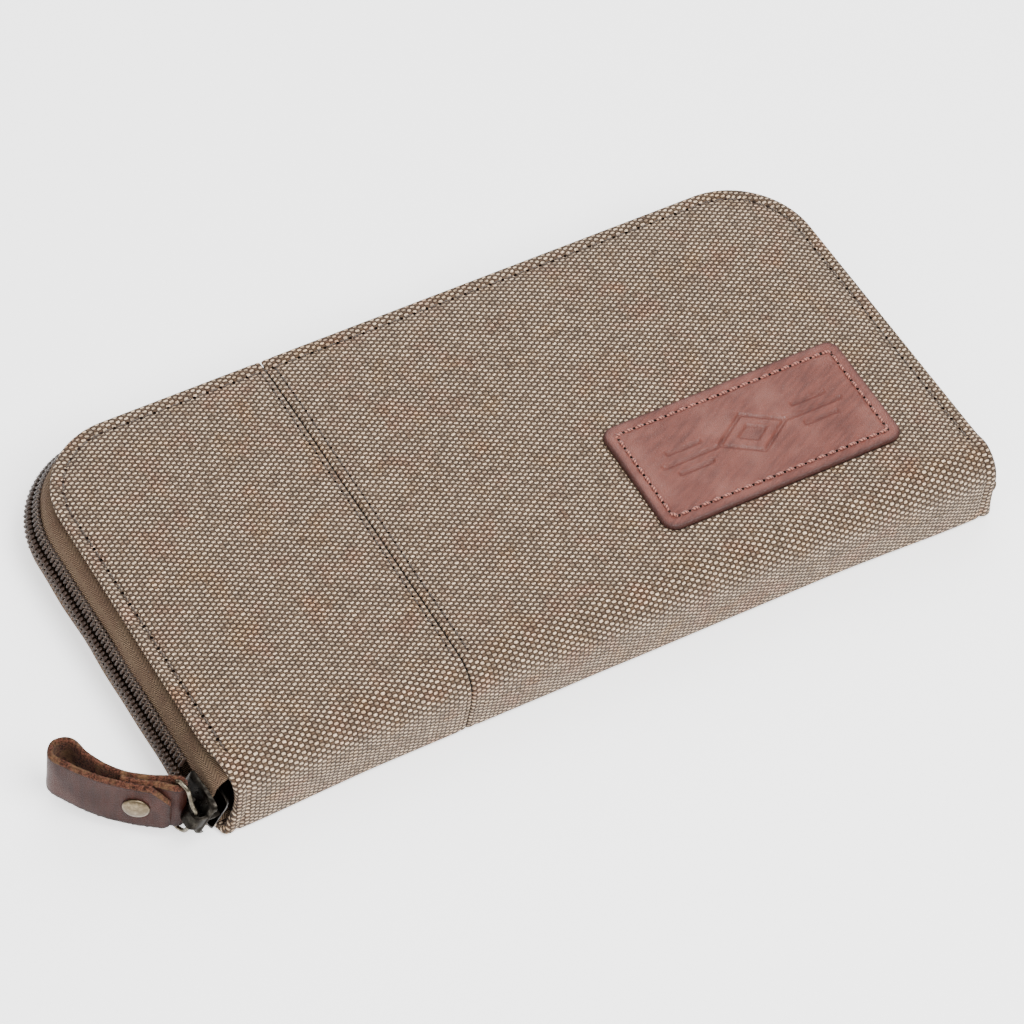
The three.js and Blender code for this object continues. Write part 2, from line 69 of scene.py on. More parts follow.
CORNER_X = LID_HALF - CORNER_RADIUS
CORNER_Y = LID_BACK - CORNER_RADIUS
SEAM_X = -37.05
SEAM_HALF_GAP = 0.12
CANVAS = 1.0
HEM = CANVAS / 2  # the hem's radius
HEM_ANGLES = [math.radians(a) for a in (60, 30, 0, -30, -60)]
NEAR_EDGE = (0.0, 0.4, 0.8, 1.3, 1.8, 2.3, 2.7, 3.2, 3.7, 4.6, 6.0)  # a panel's first columns
LID_FOLD_RADIUS = 6.5
BASE_FOLD_RADIUS = 1.7
SPINE_HALF = 94.4  # the spine's cloth is drawn in at the left end
WIDENING = 7.0  # how far past its fold a cover reaches its full width
RIGHT_BULGE = 1.9  # how far the cloth bulges past the right end of the spine
TABLE = 0.05  # the cloth's lowest place, where the table presses it flat
EDGE_STITCH_INSET = 2.9
SEAM_STITCH_LEFT = 1.5
SEAM_STITCH_RIGHT = 2.2


# ---------------------------------------------------------------- materials
class Look:
    """One material and its nodes."""

    def __init__(self, name, roughness=0.6, metallic=0.0, **sockets):
        self.material = bpy.data.materials.new(name)
        self.material.use_nodes = True
        self.tree = self.material.node_tree
        self.tree.nodes.clear()
        self.shader = self.node("ShaderNodeBsdfPrincipled")
        output = self.node("ShaderNodeOutputMaterial")
        self.tree.links.new(self.shader.outputs[0], output.inputs["Surface"])
        self.shader.inputs["Roughness"].default_value = roughness
        self.shader.inputs["Metallic"].default_value = metallic
        for socket, value in sockets.items():
            self.shader.inputs[socket.replace("_", " ")].default_value = value

    def node(self, kind, **settings):
        made = self.tree.nodes.new(kind)
        for key, value in settings.items():
            setattr(made, key, value)
        return made

    def feed(self, socket, value):
        """Sets a socket to a number or colour, or links it to another node's output."""
        if isinstance(value, bpy.types.NodeSocket):
            self.tree.links.new(value, socket)
        elif hasattr(value, "__len__") and len(value) == 3 and socket.type == "RGBA":
            socket.default_value = (*value, 1.0)
        else:
            socket.default_value = value

    def math(self, operation, a, b=0.0, clamp=False):
        made = self.node("ShaderNodeMath", operation=operation, use_clamp=clamp)
        self.feed(made.inputs[0], a)
        self.feed(made.inputs[1], b)
        return made.outputs[0]

    def vector(self, operation, a, b):
        made = self.node("ShaderNodeVectorMath", operation=operation)
        self.feed(made.inputs[0], a)
        self.feed(made.inputs[1], b)
        return made.outputs[0]

    def split(self, vector):
        made = self.node("ShaderNodeSeparateXYZ")
        self.feed(made.inputs[0], vector)
        return made.outputs[0], made.outputs[1], made.outputs[2]

    def join(self, x, y, z=0.0):
        made = self.node("ShaderNodeCombineXYZ")
        for socket, value in zip(made.inputs, (x, y, z)):
            self.feed(socket, value)
        return made.outputs[0]

    def uv(self):
        """The UV map, which is in millimetres on every piece."""
        return self.node("ShaderNodeUVMap", uv_map="UVMap").outputs[0]

    def place(self):
        """The place in the row frame at rest, in millimetres."""
        coordinates = self.node("ShaderNodeTexCoord").outputs["Object"]
        return self.vector("MULTIPLY", coordinates, (1000.0, 1000.0, 1000.0))

    def attribute(self, name):
        return self.node("ShaderNodeAttribute", attribute_name=name).outputs["Fac"]

    def noise(self, vector, size, detail=3.0, roughness=0.55, stretch=(1.0, 1.0, 1.0)):
        """Smooth noise whose features are about size millimetres across."""
        scaled = self.vector("DIVIDE", vector, tuple(size * s for s in stretch))
        made = self.node("ShaderNodeTexNoise")
        self.feed(made.inputs["Vector"], scaled)
        made.inputs["Scale"].default_value = 1.0
        made.inputs["Detail"].default_value = detail
        made.inputs["Roughness"].default_value = roughness
        return made.outputs["Fac"]

    def cells(self, vector, size):
        """Distance to the edges of irregular cells, for leather grain."""
        made = self.node("ShaderNodeTexVoronoi", feature="DISTANCE_TO_EDGE")
        self.feed(made.inputs["Vector"], self.vector("DIVIDE", vector, (size, size, size)))
        made.inputs["Scale"].default_value = 1.0
        return made.outputs["Distance"]

    def band(self, value, low, high, out_low=0.0, out_high=1.0):
        """Maps low..high smoothly to out_low..out_high."""
        made = self.node("ShaderNodeMapRange", interpolation_type="SMOOTHSTEP")
        for key, number in zip(("Value", "From Min", "From Max", "To Min", "To Max"),
                               (value, low, high, out_low, out_high)):
            self.feed(made.inputs[key], number)
        return made.outputs[0]

    def mix(self, factor, a, b, blend="MIX"):
        made = self.node("ShaderNodeMix", data_type="RGBA", blend_type=blend)
        self.feed(made.inputs["Factor"], factor)
        self.feed(made.inputs["A"], a)
        self.feed(made.inputs["B"], b)
        return made.outputs["Result"]

    def bump(self, height, depth, normal=None):
        """Bump from a 0..1 height that is depth millimetres deep."""
        made = self.node("ShaderNodeBump")
        made.inputs["Distance"].default_value = depth * MM
        self.feed(made.inputs["Height"], height)
        if normal:
            self.feed(made.inputs["Normal"], normal)
        return made.outputs[0]

    def finish(self, color, roughness=None, normal=None):
        self.feed(self.shader.inputs["Base Color"], color)
        if roughness is not None:
            self.feed(self.shader.inputs["Roughness"], roughness)
        if normal is not None:
            self.feed(self.shader.inputs["Normal"], normal)
        return self.material


CANVAS_CREAM = ((0.300, 0.208, 0.138), (0.720, 0.555, 0.395))
# The brown's dark end is painted shade down between the threads; its light end is the brown threads' crowns.
CANVAS_BROWN_WITH_WEAVE_SHADE = ((0.016, 0.009, 0.005), (0.078, 0.048, 0.029))


def canvas_look():
    """Coarse plain weave: cream threads over brown ones, with painted shade between the threads, and soft ochre
    and reddish blotches.
    """
    pitch_across, pitch_along = 1.12, 0.64
    look = Look("canvas", roughness=0.92, Sheen_Weight=0.06, Sheen_Roughness=0.6, Specular_IOR_Level=0.15)
    uv = look.uv()
    drift_x = look.noise(uv, 3.0)
    drift_y = look.noise(look.vector("ADD", uv, (37.0, 91.0, 0.0)), 3.0)
    u, v, _ = look.split(uv)
    u = look.math("ADD", u, look.math("MULTIPLY", drift_x, 0.6))
    v = look.math("ADD", v, look.math("MULTIPLY", drift_y, 0.6))
    across = look.math("DIVIDE", u, pitch_across)
    along = look.math("DIVIDE", v, pitch_along)
    wave = look.math(
        "MULTIPLY",
        look.math("SINE", look.math("MULTIPLY", across, math.pi)),
        look.math("SINE", look.math("MULTIPLY", along, math.pi)),
    )
    crown = look.math("POWER", look.math("ABSOLUTE", wave), 0.7)
    cell = look.join(look.math("FLOOR", across), look.math("FLOOR", along))
    faded = look.noise(cell, 0.73, detail=1.0)
    over = look.math("MULTIPLY", look.band(wave, 0.0, 0.62), look.band(faded, 0.28, 0.55, 0.42, 1.0))
    warp_tone = look.noise(look.join(look.math("FLOOR", across), look.math("MULTIPLY", along, 0.09)), 0.9)
    weft_tone = look.noise(look.join(look.math("MULTIPLY", across, 0.09), look.math("FLOOR", along)), 0.9)
    tone = look.math("MULTIPLY", look.math("ADD", warp_tone, weft_tone), 0.5)
    speck = look.noise(uv, 0.5, detail=2.0)
    cream = look.mix(look.band(speck, 0.3, 0.7), CANVAS_CREAM[0], CANVAS_CREAM[1])
    # Painted shade: the brown threads are painted darkest where crown, the weave's height, is lowest, between
    # the threads.
    brown = look.mix(crown, CANVAS_BROWN_WITH_WEAVE_SHADE[0], CANVAS_BROWN_WITH_WEAVE_SHADE[1])
    color = look.mix(over, brown, cream)
    ochre = look.band(look.noise(uv, 9.0, detail=4.0), 0.50, 0.72, 0.0, 0.55)
    elsewhere = look.vector("ADD", uv, (211.0, 17.0, 5.0))
    red = look.band(look.noise(elsewhere, 8.0, detail=4.0), 0.50, 0.72, 0.0, 0.50)
    color = look.mix(ochre, color, (1.0, 0.82, 0.56), blend="MULTIPLY")
    color = look.mix(red, color, (1.0, 0.68, 0.60), blend="MULTIPLY")
    shade = look.band(tone, 0.3, 0.7, 0.72, 1.20)
    color = look.mix(1.0, color, look.join(shade, shade, shade), blend="MULTIPLY")
    fuzz = look.noise(uv, 0.16, detail=2.0)
    height = look.math("ADD", crown, look.math("MULTIPLY", fuzz, 0.35))
    return look.finish(color, normal=look.bump(height, 0.20))


def tape_look():
    """Brown herringbone twill: slanting ribs that turn back at each change of row, with painted shade in the
    grooves between them and lighter crowns.
    """
    look = Look("zip_tape", roughness=0.9, Sheen_Weight=0.02, Specular_IOR_Level=0.05)
    u, v, _ = look.split(look.uv())
    row = 3.1
    slant = look.math("ABSOLUTE", look.math("SUBTRACT", look.math("FRACT", look.math("DIVIDE", v, row)), 0.5))
    rib = look.math("ADD", look.math("DIVIDE", u, 0.9), look.math("MULTIPLY", slant, row * 1.9 / 0.9))
    wave = look.band(look.math("SINE", look.math("MULTIPLY", rib, 2 * math.pi)), -1.0, 1.0)
    cross = look.math("SINE", look.math("MULTIPLY", v, 2 * math.pi / 0.33))
    tone = look.noise(look.uv(), 6.0, detail=4.0)
    # Painted shade: the colour follows the ribs' height, dark in the grooves and light on the crowns.
    color = look.mix(wave, (0.030, 0.019, 0.012), (0.205, 0.140, 0.090))
    color = look.mix(look.band(tone, 0.35, 0.7, 0.0, 0.5), color, (0.075, 0.040, 0.028))
    height = look.math("ADD", wave, look.math("MULTIPLY", cross, 0.2))
    return look.finish(color, normal=look.bump(height, 0.13))


def cloth_look(name, dark, light, thread=0.35):
    """Plain close-woven cloth, its random tone mixed with a little painted shade on the sunk threads."""
    look = Look(name, roughness=0.88, Sheen_Weight=0.03, Specular_IOR_Level=0.1)
    place = look.place()
    x, y, _ = look.split(place)
    wave = look.math(
        "MULTIPLY",
        look.math("SINE", look.math("MULTIPLY", x, math.pi / thread)),
        look.math("SINE", look.math("MULTIPLY", y, math.pi / thread)),
    )
    # The tone is random clouds plus painted shade: the weave's sunk threads are darker and its raised ones
    # lighter.
    tone = look.math("ADD", look.noise(place, 14.0), look.math("MULTIPLY", wave, 0.2))
    return look.finish(look.mix(look.band(tone, 0.2, 0.8), dark, light), normal=look.bump(wave, 0.05))


def leather_look(
    name, dark, middle, light, streak, grain=0.5, depth=0.06, roughness=0.47, turn=0.0, shine=0.35
):
    """Streaky pull-up leather with fine grain, darker where an edge is burnished.

    streak is the streaks' size in each direction, after a turn of so many degrees.
    """
    look = Look(name, roughness=roughness, Specular_IOR_Level=shine, Coat_Weight=shine / 5, Coat_Roughness=0.3)
    place = look.place()
    turned = look.node("ShaderNodeVectorRotate", rotation_type="Z_AXIS")
    look.feed(turned.inputs["Vector"], place)
    turned.inputs["Angle"].default_value = math.radians(turn)
    streaks = look.noise(turned.outputs[0], 1.0, detail=6.0, roughness=0.6, stretch=streak)
    clouds = look.noise(place, 13.0, detail=3.0)
    color = look.mix(look.band(streaks, 0.22, 0.72), dark, middle)
    color = look.mix(look.band(clouds, 0.42, 0.70, 0.0, 0.65), color, light)
    edge = look.attribute("edge")
    color = look.mix(look.math("MULTIPLY", edge, 0.85), color, tuple(c * 0.30 for c in dark))
    creases = look.band(look.cells(place, grain), 0.0, 0.16)
    pores = look.noise(place, 0.22, detail=2.0)
    height = look.math("ADD", creases, look.math("MULTIPLY", pores, 0.5))
    height = look.math("ADD", height, look.math("MULTIPLY", streaks, 0.8))
    rough = look.band(clouds, 0.3, 0.7, roughness + 0.06, roughness - 0.07)
    return look.finish(color, rough, look.bump(height, depth))


def flesh_look():
    """The fibrous, unfinished side of the strap's leather."""
    look = Look("leather_flesh", roughness=0.95, Sheen_Weight=0.03, Specular_IOR_Level=0.06)
    place = look.place()
    fibres = look.noise(place, 0.45, detail=6.0, roughness=0.75)
    clumps = look.noise(place, 2.2, detail=4.0)
    color = look.mix(look.band(fibres, 0.38, 0.64), (0.010, 0.004, 0.0025), (0.125, 0.048, 0.030))
    color = look.mix(look.band(clumps, 0.45, 0.68, 0.0, 0.5), color, (0.150, 0.088, 0.042))
    return look.finish(color, normal=look.bump(fibres, 0.45))


def thread_look(name, dark, light):
    look = Look(name, roughness=0.6, Sheen_Weight=0.2, Specular_IOR_Level=0.4)
    u, v, _ = look.split(look.uv())
    ply = look.math("SINE", look.math("MULTIPLY", look.math("ADD", u, look.math("MULTIPLY", v, 0.6)), 9.0))
    # Painted shade: the colour follows the plies' height, dark in the twist's grooves and light on its crowns.
    lay = look.band(ply, -1.0, 1.0)
    return look.finish(look.mix(lay, dark, light), normal=look.bump(lay, 0.07))


def metal_look(name, dark, bright, roughness):
    """Aged metal: dark, with patches worn bright."""
    look = Look(name, roughness=roughness, metallic=1.0)
    place = look.place()
    wear = look.noise(place, 1.6, detail=4.0, roughness=0.6)
    color = look.mix(look.band(wear, 0.42, 0.72), dark, bright)
    rough = look.band(wear, 0.3, 0.75, roughness + 0.12, roughness - 0.08)
    return look.finish(color, rough, look.bump(wear, 0.015))


def coil_look():
    """Dark brown nylon of the zip's coils."""
    look = Look("zip_coil", roughness=0.42, Specular_IOR_Level=0.3)
    tone = look.noise(look.place(), 2.0, detail=3.0)
    color = look.mix(tone, (0.010, 0.005, 0.003), (0.042, 0.023, 0.015))
    return look.finish(color, normal=look.bump(look.noise(look.place(), 0.15), 0.02))


CANVAS_LOOK = canvas_look()
TAPE_LOOK = tape_look()
LINING_LOOK = cloth_look("lining", (0.012, 0.008, 0.006), (0.034, 0.023, 0.016))
BOARD_LOOK = cloth_look("board", (0.11, 0.09, 0.07), (0.18, 0.15, 0.12), 0.8)
LABEL_LOOK = leather_look(
    "label_leather", (0.062, 0.014, 0.009), (0.128, 0.033, 0.022), (0.168, 0.056, 0.041), (7.0, 1.1, 1.1),
    turn=-25.0
)
STRAP_LOOK = leather_look(
    "strap_leather", (0.016, 0.0040, 0.0025), (0.035, 0.0095, 0.0060), (0.055, 0.0170, 0.0115), (1.5, 1.5, 7.0),
    shine=0.12
)
POCKET_LOOK = leather_look(
    "pocket_leather", (0.022, 0.012, 0.008), (0.036, 0.020, 0.014), (0.046, 0.027, 0.019), (3.0, 3.0, 3.0),
    grain=0.8, depth=0.05, roughness=0.55, shine=0.12
)
FLESH_LOOK = flesh_look()
CANVAS_THREAD = thread_look("canvas_thread", (0.020, 0.011, 0.007), (0.075, 0.048, 0.030))
LABEL_THREAD = thread_look("label_thread", (0.055, 0.012, 0.008), (0.36, 0.125, 0.088))
ZIP_THREAD = thread_look("zip_thread", (0.010, 0.006, 0.003), (0.135, 0.088, 0.058))
# Painted shade: this dark colour stands for the shade inside each needle hole.
HOLE_SHADE_LOOK = cloth_look("painted_hole_shade", (0.008, 0.004, 0.003), (0.016, 0.009, 0.006))
COIL_LOOK = coil_look()
DARK_METAL = metal_look("dark_metal", (0.014, 0.012, 0.010), (0.038, 0.034, 0.028), 0.28)
RING_METAL = metal_look("ring_metal", (0.070, 0.060, 0.044), (0.260, 0.230, 0.170), 0.28)
BRASS_METAL = metal_look("antique_brass", (0.110, 0.083, 0.051), (0.225, 0.180, 0.118), 0.34)


# ---------------------------------------------------------------- making pieces
def make_piece(name, points, faces, look, body=None, nodes=(), uvs=None, attribute=None, sharp=None):
    """A mesh from points in millimetres. uvs and attribute have one entry for each point."""
    mesh = bpy.data.meshes.new(name)
    mesh.from_pydata([tuple(c * MM for c in p) for p in points], [], faces)
    mesh.update()
    if uvs:
        layer = mesh.uv_layers.new(name="UVMap")
        for loop in mesh.loops:
            layer.data[loop.index].uv = uvs[loop.vertex_index]
    if attribute:
        values = mesh.attributes.new("edge", "FLOAT", "POINT")
        values.data.foreach_set("value", attribute)
    mesh.shade_smooth()
    piece = bpy.data.objects.new(name, mesh)
    bpy.context.collection.objects.link(piece)
    mesh.materials.append(look)
    if sharp:
        mesh.set_sharp_from_angle(angle=math.radians(sharp))
    if body:
        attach(piece, body)
    if nodes:
        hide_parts(*nodes)
    return piece


def lerp(a, b, t):
    return a + (b - a) * t


def clamp(t):
    return min(max(t, 0.0), 1.0)


def ease(t):
    """Rises from 0 to 1 with t, with a level start and end."""
    t = clamp(t)
    return t * t * (3 - 2 * t)


def dip(distance, width):
    """A smooth bell, 1 at no distance."""
    return math.exp(-((distance / width) ** 2))


def steps(start, stop, size):
    """Evenly spaced numbers from start to stop, no more than size apart."""
    count = max(1, math.ceil(abs(stop - start) / size))
    return [lerp(start, stop, i / count) for i in range(count + 1)]


def arc(x, y, radius, angles):
    """Points at angles, in degrees, on a circle round (x, y)."""
    return [(x + radius * math.cos(math.radians(a)), y + radius * math.sin(math.radians(a))) for a in angles]


def turns(sides, start=0.0):
    """Angles evenly spaced over a full turn."""
    return [2 * math.pi * (side + start) / sides for side in range(sides)]


def reverse(faces):
    return [tuple(reversed(face)) for face in faces]


def tube_faces(base, rings, sides):
    """Faces of a closed tube of equal rings of points, the first of which is number base."""
    faces = []
    for ring in range(rings - 1):
        for side in range(sides):
            a = base + ring * sides + side
            b = base + ring * sides + (side + 1) % sides
            faces.append((a, b, b + sides, a + sides))
    last = base + (rings - 1) * sides
    faces.append(tuple(reversed(range(base, base + sides))))
    faces.append(tuple(range(last, last + sides)))
    return faces


def sheet_faces(rows, columns):
    """Faces of the two sides of a sheet, each a grid of points, the upper one first."""
    faces = []
    for row in range(rows - 1):
        for column in range(columns - 1):
            a = row * columns + column
            b = a + rows * columns
            faces.append((a, a + 1, a + columns + 1, a + columns))
            faces.append((b, b + columns, b + columns + 1, b + 1))
    return faces


def slab_faces(rows, columns):
    """Faces of a sheet with its two sides joined round the rim."""
    count = rows * columns
    rim = list(range(columns - 1))
    rim += [row * columns + columns - 1 for row in range(rows - 1)]
    rim += [(rows - 1) * columns + column for column in range(columns - 1, 0, -1)]
    rim += [row * columns for row in range(rows - 1, 0, -1)]
    around = zip(rim, rim[1:] + rim[:1])
    return sheet_faces(rows, columns) + [(b, a, a + count, b + count) for a, b in around]


def spline(p0, p1, p2, p3, t):
    """A place between p1 and p2 on a smooth line through all four."""
    bend = (2 * p0 - 5 * p1 + 4 * p2 - p3) * t**2 + (3 * p1 - p0 - 3 * p2 + p3) * t**3
    return 0.5 * (2 * p1 + (p2 - p0) * t + bend)


def smooth_line(controls, count):
    """A smooth line through 2-D controls, with count points."""
    padded = [Vector(p) for p in (controls[0], *controls, controls[-1])]
    spans = len(controls) - 1
    line = []
    for i in range(count):
        position = i / (count - 1) * spans
        span = min(int(position), spans - 1)
        line.append(spline(*padded[span : span + 4], position - span))
    return line


def lengths_along(line):
    """The length from the line's start to each of its points."""
    lengths = [0.0]
    for a, b in zip(line, line[1:]):
        lengths.append(lengths[-1] + (b - a).length)
    return lengths


# ---------------------------------------------------------------- canvas covers
class Cover:
    """One cover's canvas, from the middle of the spine round the fold to the back edge.

    s is the length along the cloth from the middle of the spine.
    """

    def __init__(self, side):
        self.sign = 1 if side == "lid" else -1
        self.side = side
        self.fold = LID_FOLD_RADIUS if side == "lid" else BASE_FOLD_RADIUS
        self.half = LID_HALF if side == "lid" else BASE_HALF
        self.rise = MIDDLE - self.fold
        self.arc = self.fold * math.pi / 2
        overhang = self.half - LID_HALF
        self.back = LID_BACK + overhang
        self.radius = CORNER_RADIUS + overhang
        self.flat_start = self.rise + self.arc
        self.back_s = self.s_at(self.back)
        self.corner_s = self.s_at(CORNER_Y)

    def s_at(self, y):
        """s of a place on the flat part."""
        return self.flat_start + y - (SPINE_FRONT + self.fold)

    def profile(self, s):
        """(y, height above the zip line, and the outward normal in those) at s."""
        if s < self.rise:
            return SPINE_FRONT, s, -1.0, 0.0
        if s < self.flat_start:
            angle = (s - self.rise) / self.fold
            return (
                SPINE_FRONT + self.fold * (1 - math.cos(angle)),
                self.rise + self.fold * math.sin(angle),
                -math.cos(angle),
                math.sin(angle),
            )
        return SPINE_FRONT + self.fold + s - self.flat_start, MIDDLE, 0.0, 1.0

    def half_at(self, s, x):
        """Half the cloth's width on x's side, which grows from the spine's to the cover's beyond the fold."""
        spine = SPINE_HALF if x < 0 else LID_HALF
        bulge = RIGHT_BULGE * max(1 - s / self.corner_s, 0.0) if x > 0 else 0.0
        return lerp(spine, self.half, ease(s / (self.flat_start + WIDENING))) + bulge

    def edge_distance(self, x, s):
        """How far (x, s) lies in from the two ends and the back."""
        over_s = s - self.corner_s
        over_x = abs(x) - CORNER_X
        if over_s > 0 and over_x > 0:
            return self.radius - math.hypot(over_x, over_s)
        return min(self.half_at(s, x) - abs(x), self.back_s - s)

    def swell(self, x, s):
        """How far the cloth stands off its flat place: pillowed inside its stitches, pressed in at them."""
        edge = max(self.edge_distance(x, s), 0.0)
        seam = abs(x - SEAM_X)
        off_seam = SEAM_STITCH_LEFT if x < SEAM_X else SEAM_STITCH_RIGHT
        inside = max(edge - EDGE_STITCH_INSET, 0.0)
        loose = 1.0 if self.sign > 0 else max(1 - s / self.rise, 0.0)
        height = 0.75 * loose * (1 - math.exp(-inside / 6.0))
        height += 0.16 * dip(edge - 1.3, 0.9)
        height -= 0.30 * dip(edge - EDGE_STITCH_INSET, 0.55)
        height -= 0.40 * dip(seam, 0.8)
        height -= 0.16 * dip(seam - off_seam, 0.5)
        height += 0.14 * dip(seam - 0.75, 0.35)
        slump = clamp((abs(x) - 55.0) / 38.0) * clamp((self.flat_start + 3 - s) / 5.0)
        height += 0.9 * ease(slump)
        roll = noise.noise(Vector((x / 17.0, self.sign * s / 15.0, 3.0)))
        return height + 0.26 * roll * min(edge / 6.0, 1.0) * lerp(0.3, 1.0, loose)

    def place(self, x, s, lift=0.0):
        """The point lift millimetres above the cloth's surface."""
        y, height, normal_y, normal_h = self.profile(s)
        stand = self.swell(x, s) + lift
        return x, y + normal_y * stand, max(MIDDLE + self.sign * (height + normal_h * stand), TABLE)

    def under(self, x, s):
        """The point on the cloth's inner side."""
        y, height, normal_y, normal_h = self.profile(s)
        return x, y - normal_y * CANVAS, MIDDLE + self.sign * (height - normal_h * CANVAS)

    def bounds(self, s, left, right):
        """Where a panel's hem starts at its two ends. None stands for the cloth's own end."""
        over = max(s - self.corner_s, 0.0)
        rounded = CORNER_X + math.sqrt(max((self.radius - HEM) ** 2 - over**2, 0.0))
        low, high = (rounded if over > 0 else self.half_at(s, way) - HEM for way in (-1, 1))
        return -low if left is None else left + HEM, high if right is None else right - HEM

    def hem_place(self, edge, s, way, angle):
        """A point on the rounded hem beyond the point edge at s. way is outwards in (x, s)."""
        _, _, normal_y, normal_h = self.profile(s)
        out = HEM * math.cos(angle)
        down = (HEM + self.swell(edge[0], s) / 2) * (1 - math.sin(angle))
        return (
            edge[0] + way[0] * out,
            edge[1] + way[1] * normal_h * out - normal_y * down,
            edge[2] - self.sign * normal_h * down,
        )

    def panel(self, name, left, right, nodes):
        """One panel of the canvas, closed, with a rounded hem on its two ends and its back edge."""
        rows = steps(0.0, self.corner_s, 0.9)
        corner = self.radius - HEM
        rows += [self.corner_s + corner * math.sin(math.radians(a)) for a in range(3, 91, 3)]
        widest = self.bounds(self.corner_s, left, right)
        width = widest[1] - widest[0]
        near = [d / width for d in NEAR_EDGE]
        fractions = near + steps(near[-1], 1 - near[-1], 1.2 / width)[1:-1]
        fractions += [1 - fraction for fraction in reversed(near)]
        columns = len(fractions)
        grid = []
        for s in rows:
            low, high = self.bounds(s, left, right)
            grid += [(lerp(low, high, fraction), s) for fraction in fractions]
        points = [self.place(x, s) for x, s in grid] + [self.under(x, s) for x, s in grid]
        uvs = [(x, self.sign * s) for x, s in grid] * 2
        faces = sheet_faces(len(rows), columns)
        last = len(rows) - 1
        loop = [(row, 0) for row in range(last)]
        loop += [(last, column) for column in range(columns)]
        loop += [(row, columns - 1) for row in range(last - 1, -1, -1)]
        rings = []
        for row, column in loop:
            index = row * columns + column
            x, s = grid[index]
            free_end = (column == 0 and left is None) or (column == columns - 1 and right is None)
            way = self.outward(x, s, column / (columns - 1), row == last, free_end)
            ring = [index]
            for angle in HEM_ANGLES:
                ring.append(len(points))
                points.append(self.hem_place(points[index], s, way, angle))
                unrolled = HEM * (math.pi / 2 - angle)
                uvs.append((x + way[0] * unrolled, self.sign * (s + way[1] * unrolled)))
            rings.append(ring + [len(grid) + index])
        for before, after in zip(rings, rings[1:]):
            for i in range(len(before) - 1):
                faces.append((before[i], after[i], after[i + 1], before[i + 1]))
        seam = list(range(columns)) + rings[-1][1:-1]
        seam += list(reversed(range(len(grid), len(grid) + columns))) + rings[0][-2:0:-1]
        faces.append(tuple(reversed(seam)))
        if self.sign < 0:
            faces = reverse(faces)
        self.bend(make_piece(name, points, faces, CANVAS_LOOK, nodes=nodes, uvs=uvs))

    def outward(self, x, s, fraction, at_back, free_end):
        """The way out of the panel, in (x, s), at a place on its outline."""
        over = s - self.corner_s
        if over > 0 and free_end:
            way = Vector((math.copysign(abs(x) - CORNER_X, x), over))
            return way.normalized() if way.length > 1e-6 else Vector((0.0, 1.0))
        side = {0.0: -1.0, 1.0: 1.0}.get(fraction, 0.0)
        return Vector((side, 1.0 if at_back else 0.0)).normalized()

    def bend(self, piece):
        """Bakes a piece's transform into its mesh; the piece is not made to bend with the cover's fold."""
        if self.sign > 0:
            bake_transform(piece)
        else:
            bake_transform(piece)


# ---------------------------------------------------------------- stitches
def stitch_rows(name, spots, look, nodes, length, radius, sink, arch):
    """Separate stitches at spots of (point, direction) on the lid, as one piece."""
    sides = 7
    rings = 7
    points = []
    faces = []
    uvs = []
    for centre, way in spots:
        along = Vector(way).normalized()
        across = along.cross(UP)
        faces += tube_faces(len(points), rings, sides)
        for ring in range(rings):
            t = ring / (rings - 1)
            bow = math.sin(math.pi * t)
            lift = arch * bow - sink * (1 - bow) ** 2
            thick = radius * (0.35 + 0.65 * math.sin(math.pi * min(max(t, 0.07), 0.93)) ** 0.5)
            middle = Vector(centre) + along * ((t - 0.5) * length) + UP * lift
            for side, turn in enumerate(turns(sides)):
                points.append(middle + (across * math.cos(turn) + UP * math.sin(turn)) * thick)
                uvs.append((t * length, side * 0.25))
    make_piece(name, points, faces, look, "lid", nodes, uvs=uvs)


def hole_shade_discs(name, centres, radius):
    """Dark discs on the lid that paint the shade inside each needle hole, as one piece."""
    sides = 8
    rings = ((1.0, -0.06), (0.85, 0.05), (0.4, 0.07))
    points = []
    faces = []
    for x, y, z in centres:
        base = len(points)
        top = base + (len(rings) - 1) * sides
        middle = top + sides
        faces += tube_faces(base, len(rings), sides)[:-2]
        for side in range(sides):
            other = (side + 1) % sides
            faces.append((top + side, top + other, middle))
            faces.append((base + other, base + side, middle))
        for scale, lift in rings:
            for turn in turns(sides):
                reach = radius * scale
                points.append((x + reach * math.cos(turn), y + reach * math.sin(turn), z + lift))
        points.append((x, y, z + rings[-1][1]))
    make_piece(name, points, faces, HOLE_SHADE_LOOK, "lid")


def walk(path, pitch):
    """Evenly spaced (place, direction) along a list of 2-D points."""
    spots = []
    travelled = 0.0
    due = pitch / 2
    for (x0, y0), (x1, y1) in zip(path, path[1:]):
        length = math.hypot(x1 - x0, y1 - y0)
        while length and due <= travelled + length:
            t = (due - travelled) / length
            spots.append(((lerp(x0, x1, t), lerp(y0, y1, t)), ((x1 - x0) / length, (y1 - y0) / length)))
            due += pitch
        travelled += length
    return spots


def sew(name, hole_shades_name, place, path, pitch, look, nodes, hole, lifts, **shape):
    """Stitches along a path on the lid, with dark discs that paint the shade in each needle hole.

    place gives the point at a place on the path, some way above the surface. lifts are those of a stitch
    and of a hole.
    """
    spots = []
    hole_shades = []
    for (a, b), (way_a, way_b) in walk(path, pitch):
        spots.append((place(a, b, lifts[0]), (way_a, way_b, 0.0)))
        for reach in (-pitch / 2, pitch / 2):
            hole_shades.append(place(a + way_a * reach, b + way_b * reach, lifts[1]))
    stitch_rows(name, spots, look, nodes, **shape)
    hole_shade_discs(hole_shades_name, hole_shades, hole)


def sew_cloth(cover, name, path, node, pitch, length, hole):
    """Sews along a path of (x, s) on a cover's flat part."""
    sew(name, f"{name}_holes", cover.place, path, pitch, CANVAS_THREAD, [node], hole, (0.08, 0.1),
        length=length, radius=0.24, sink=0.2, arch=0.13)


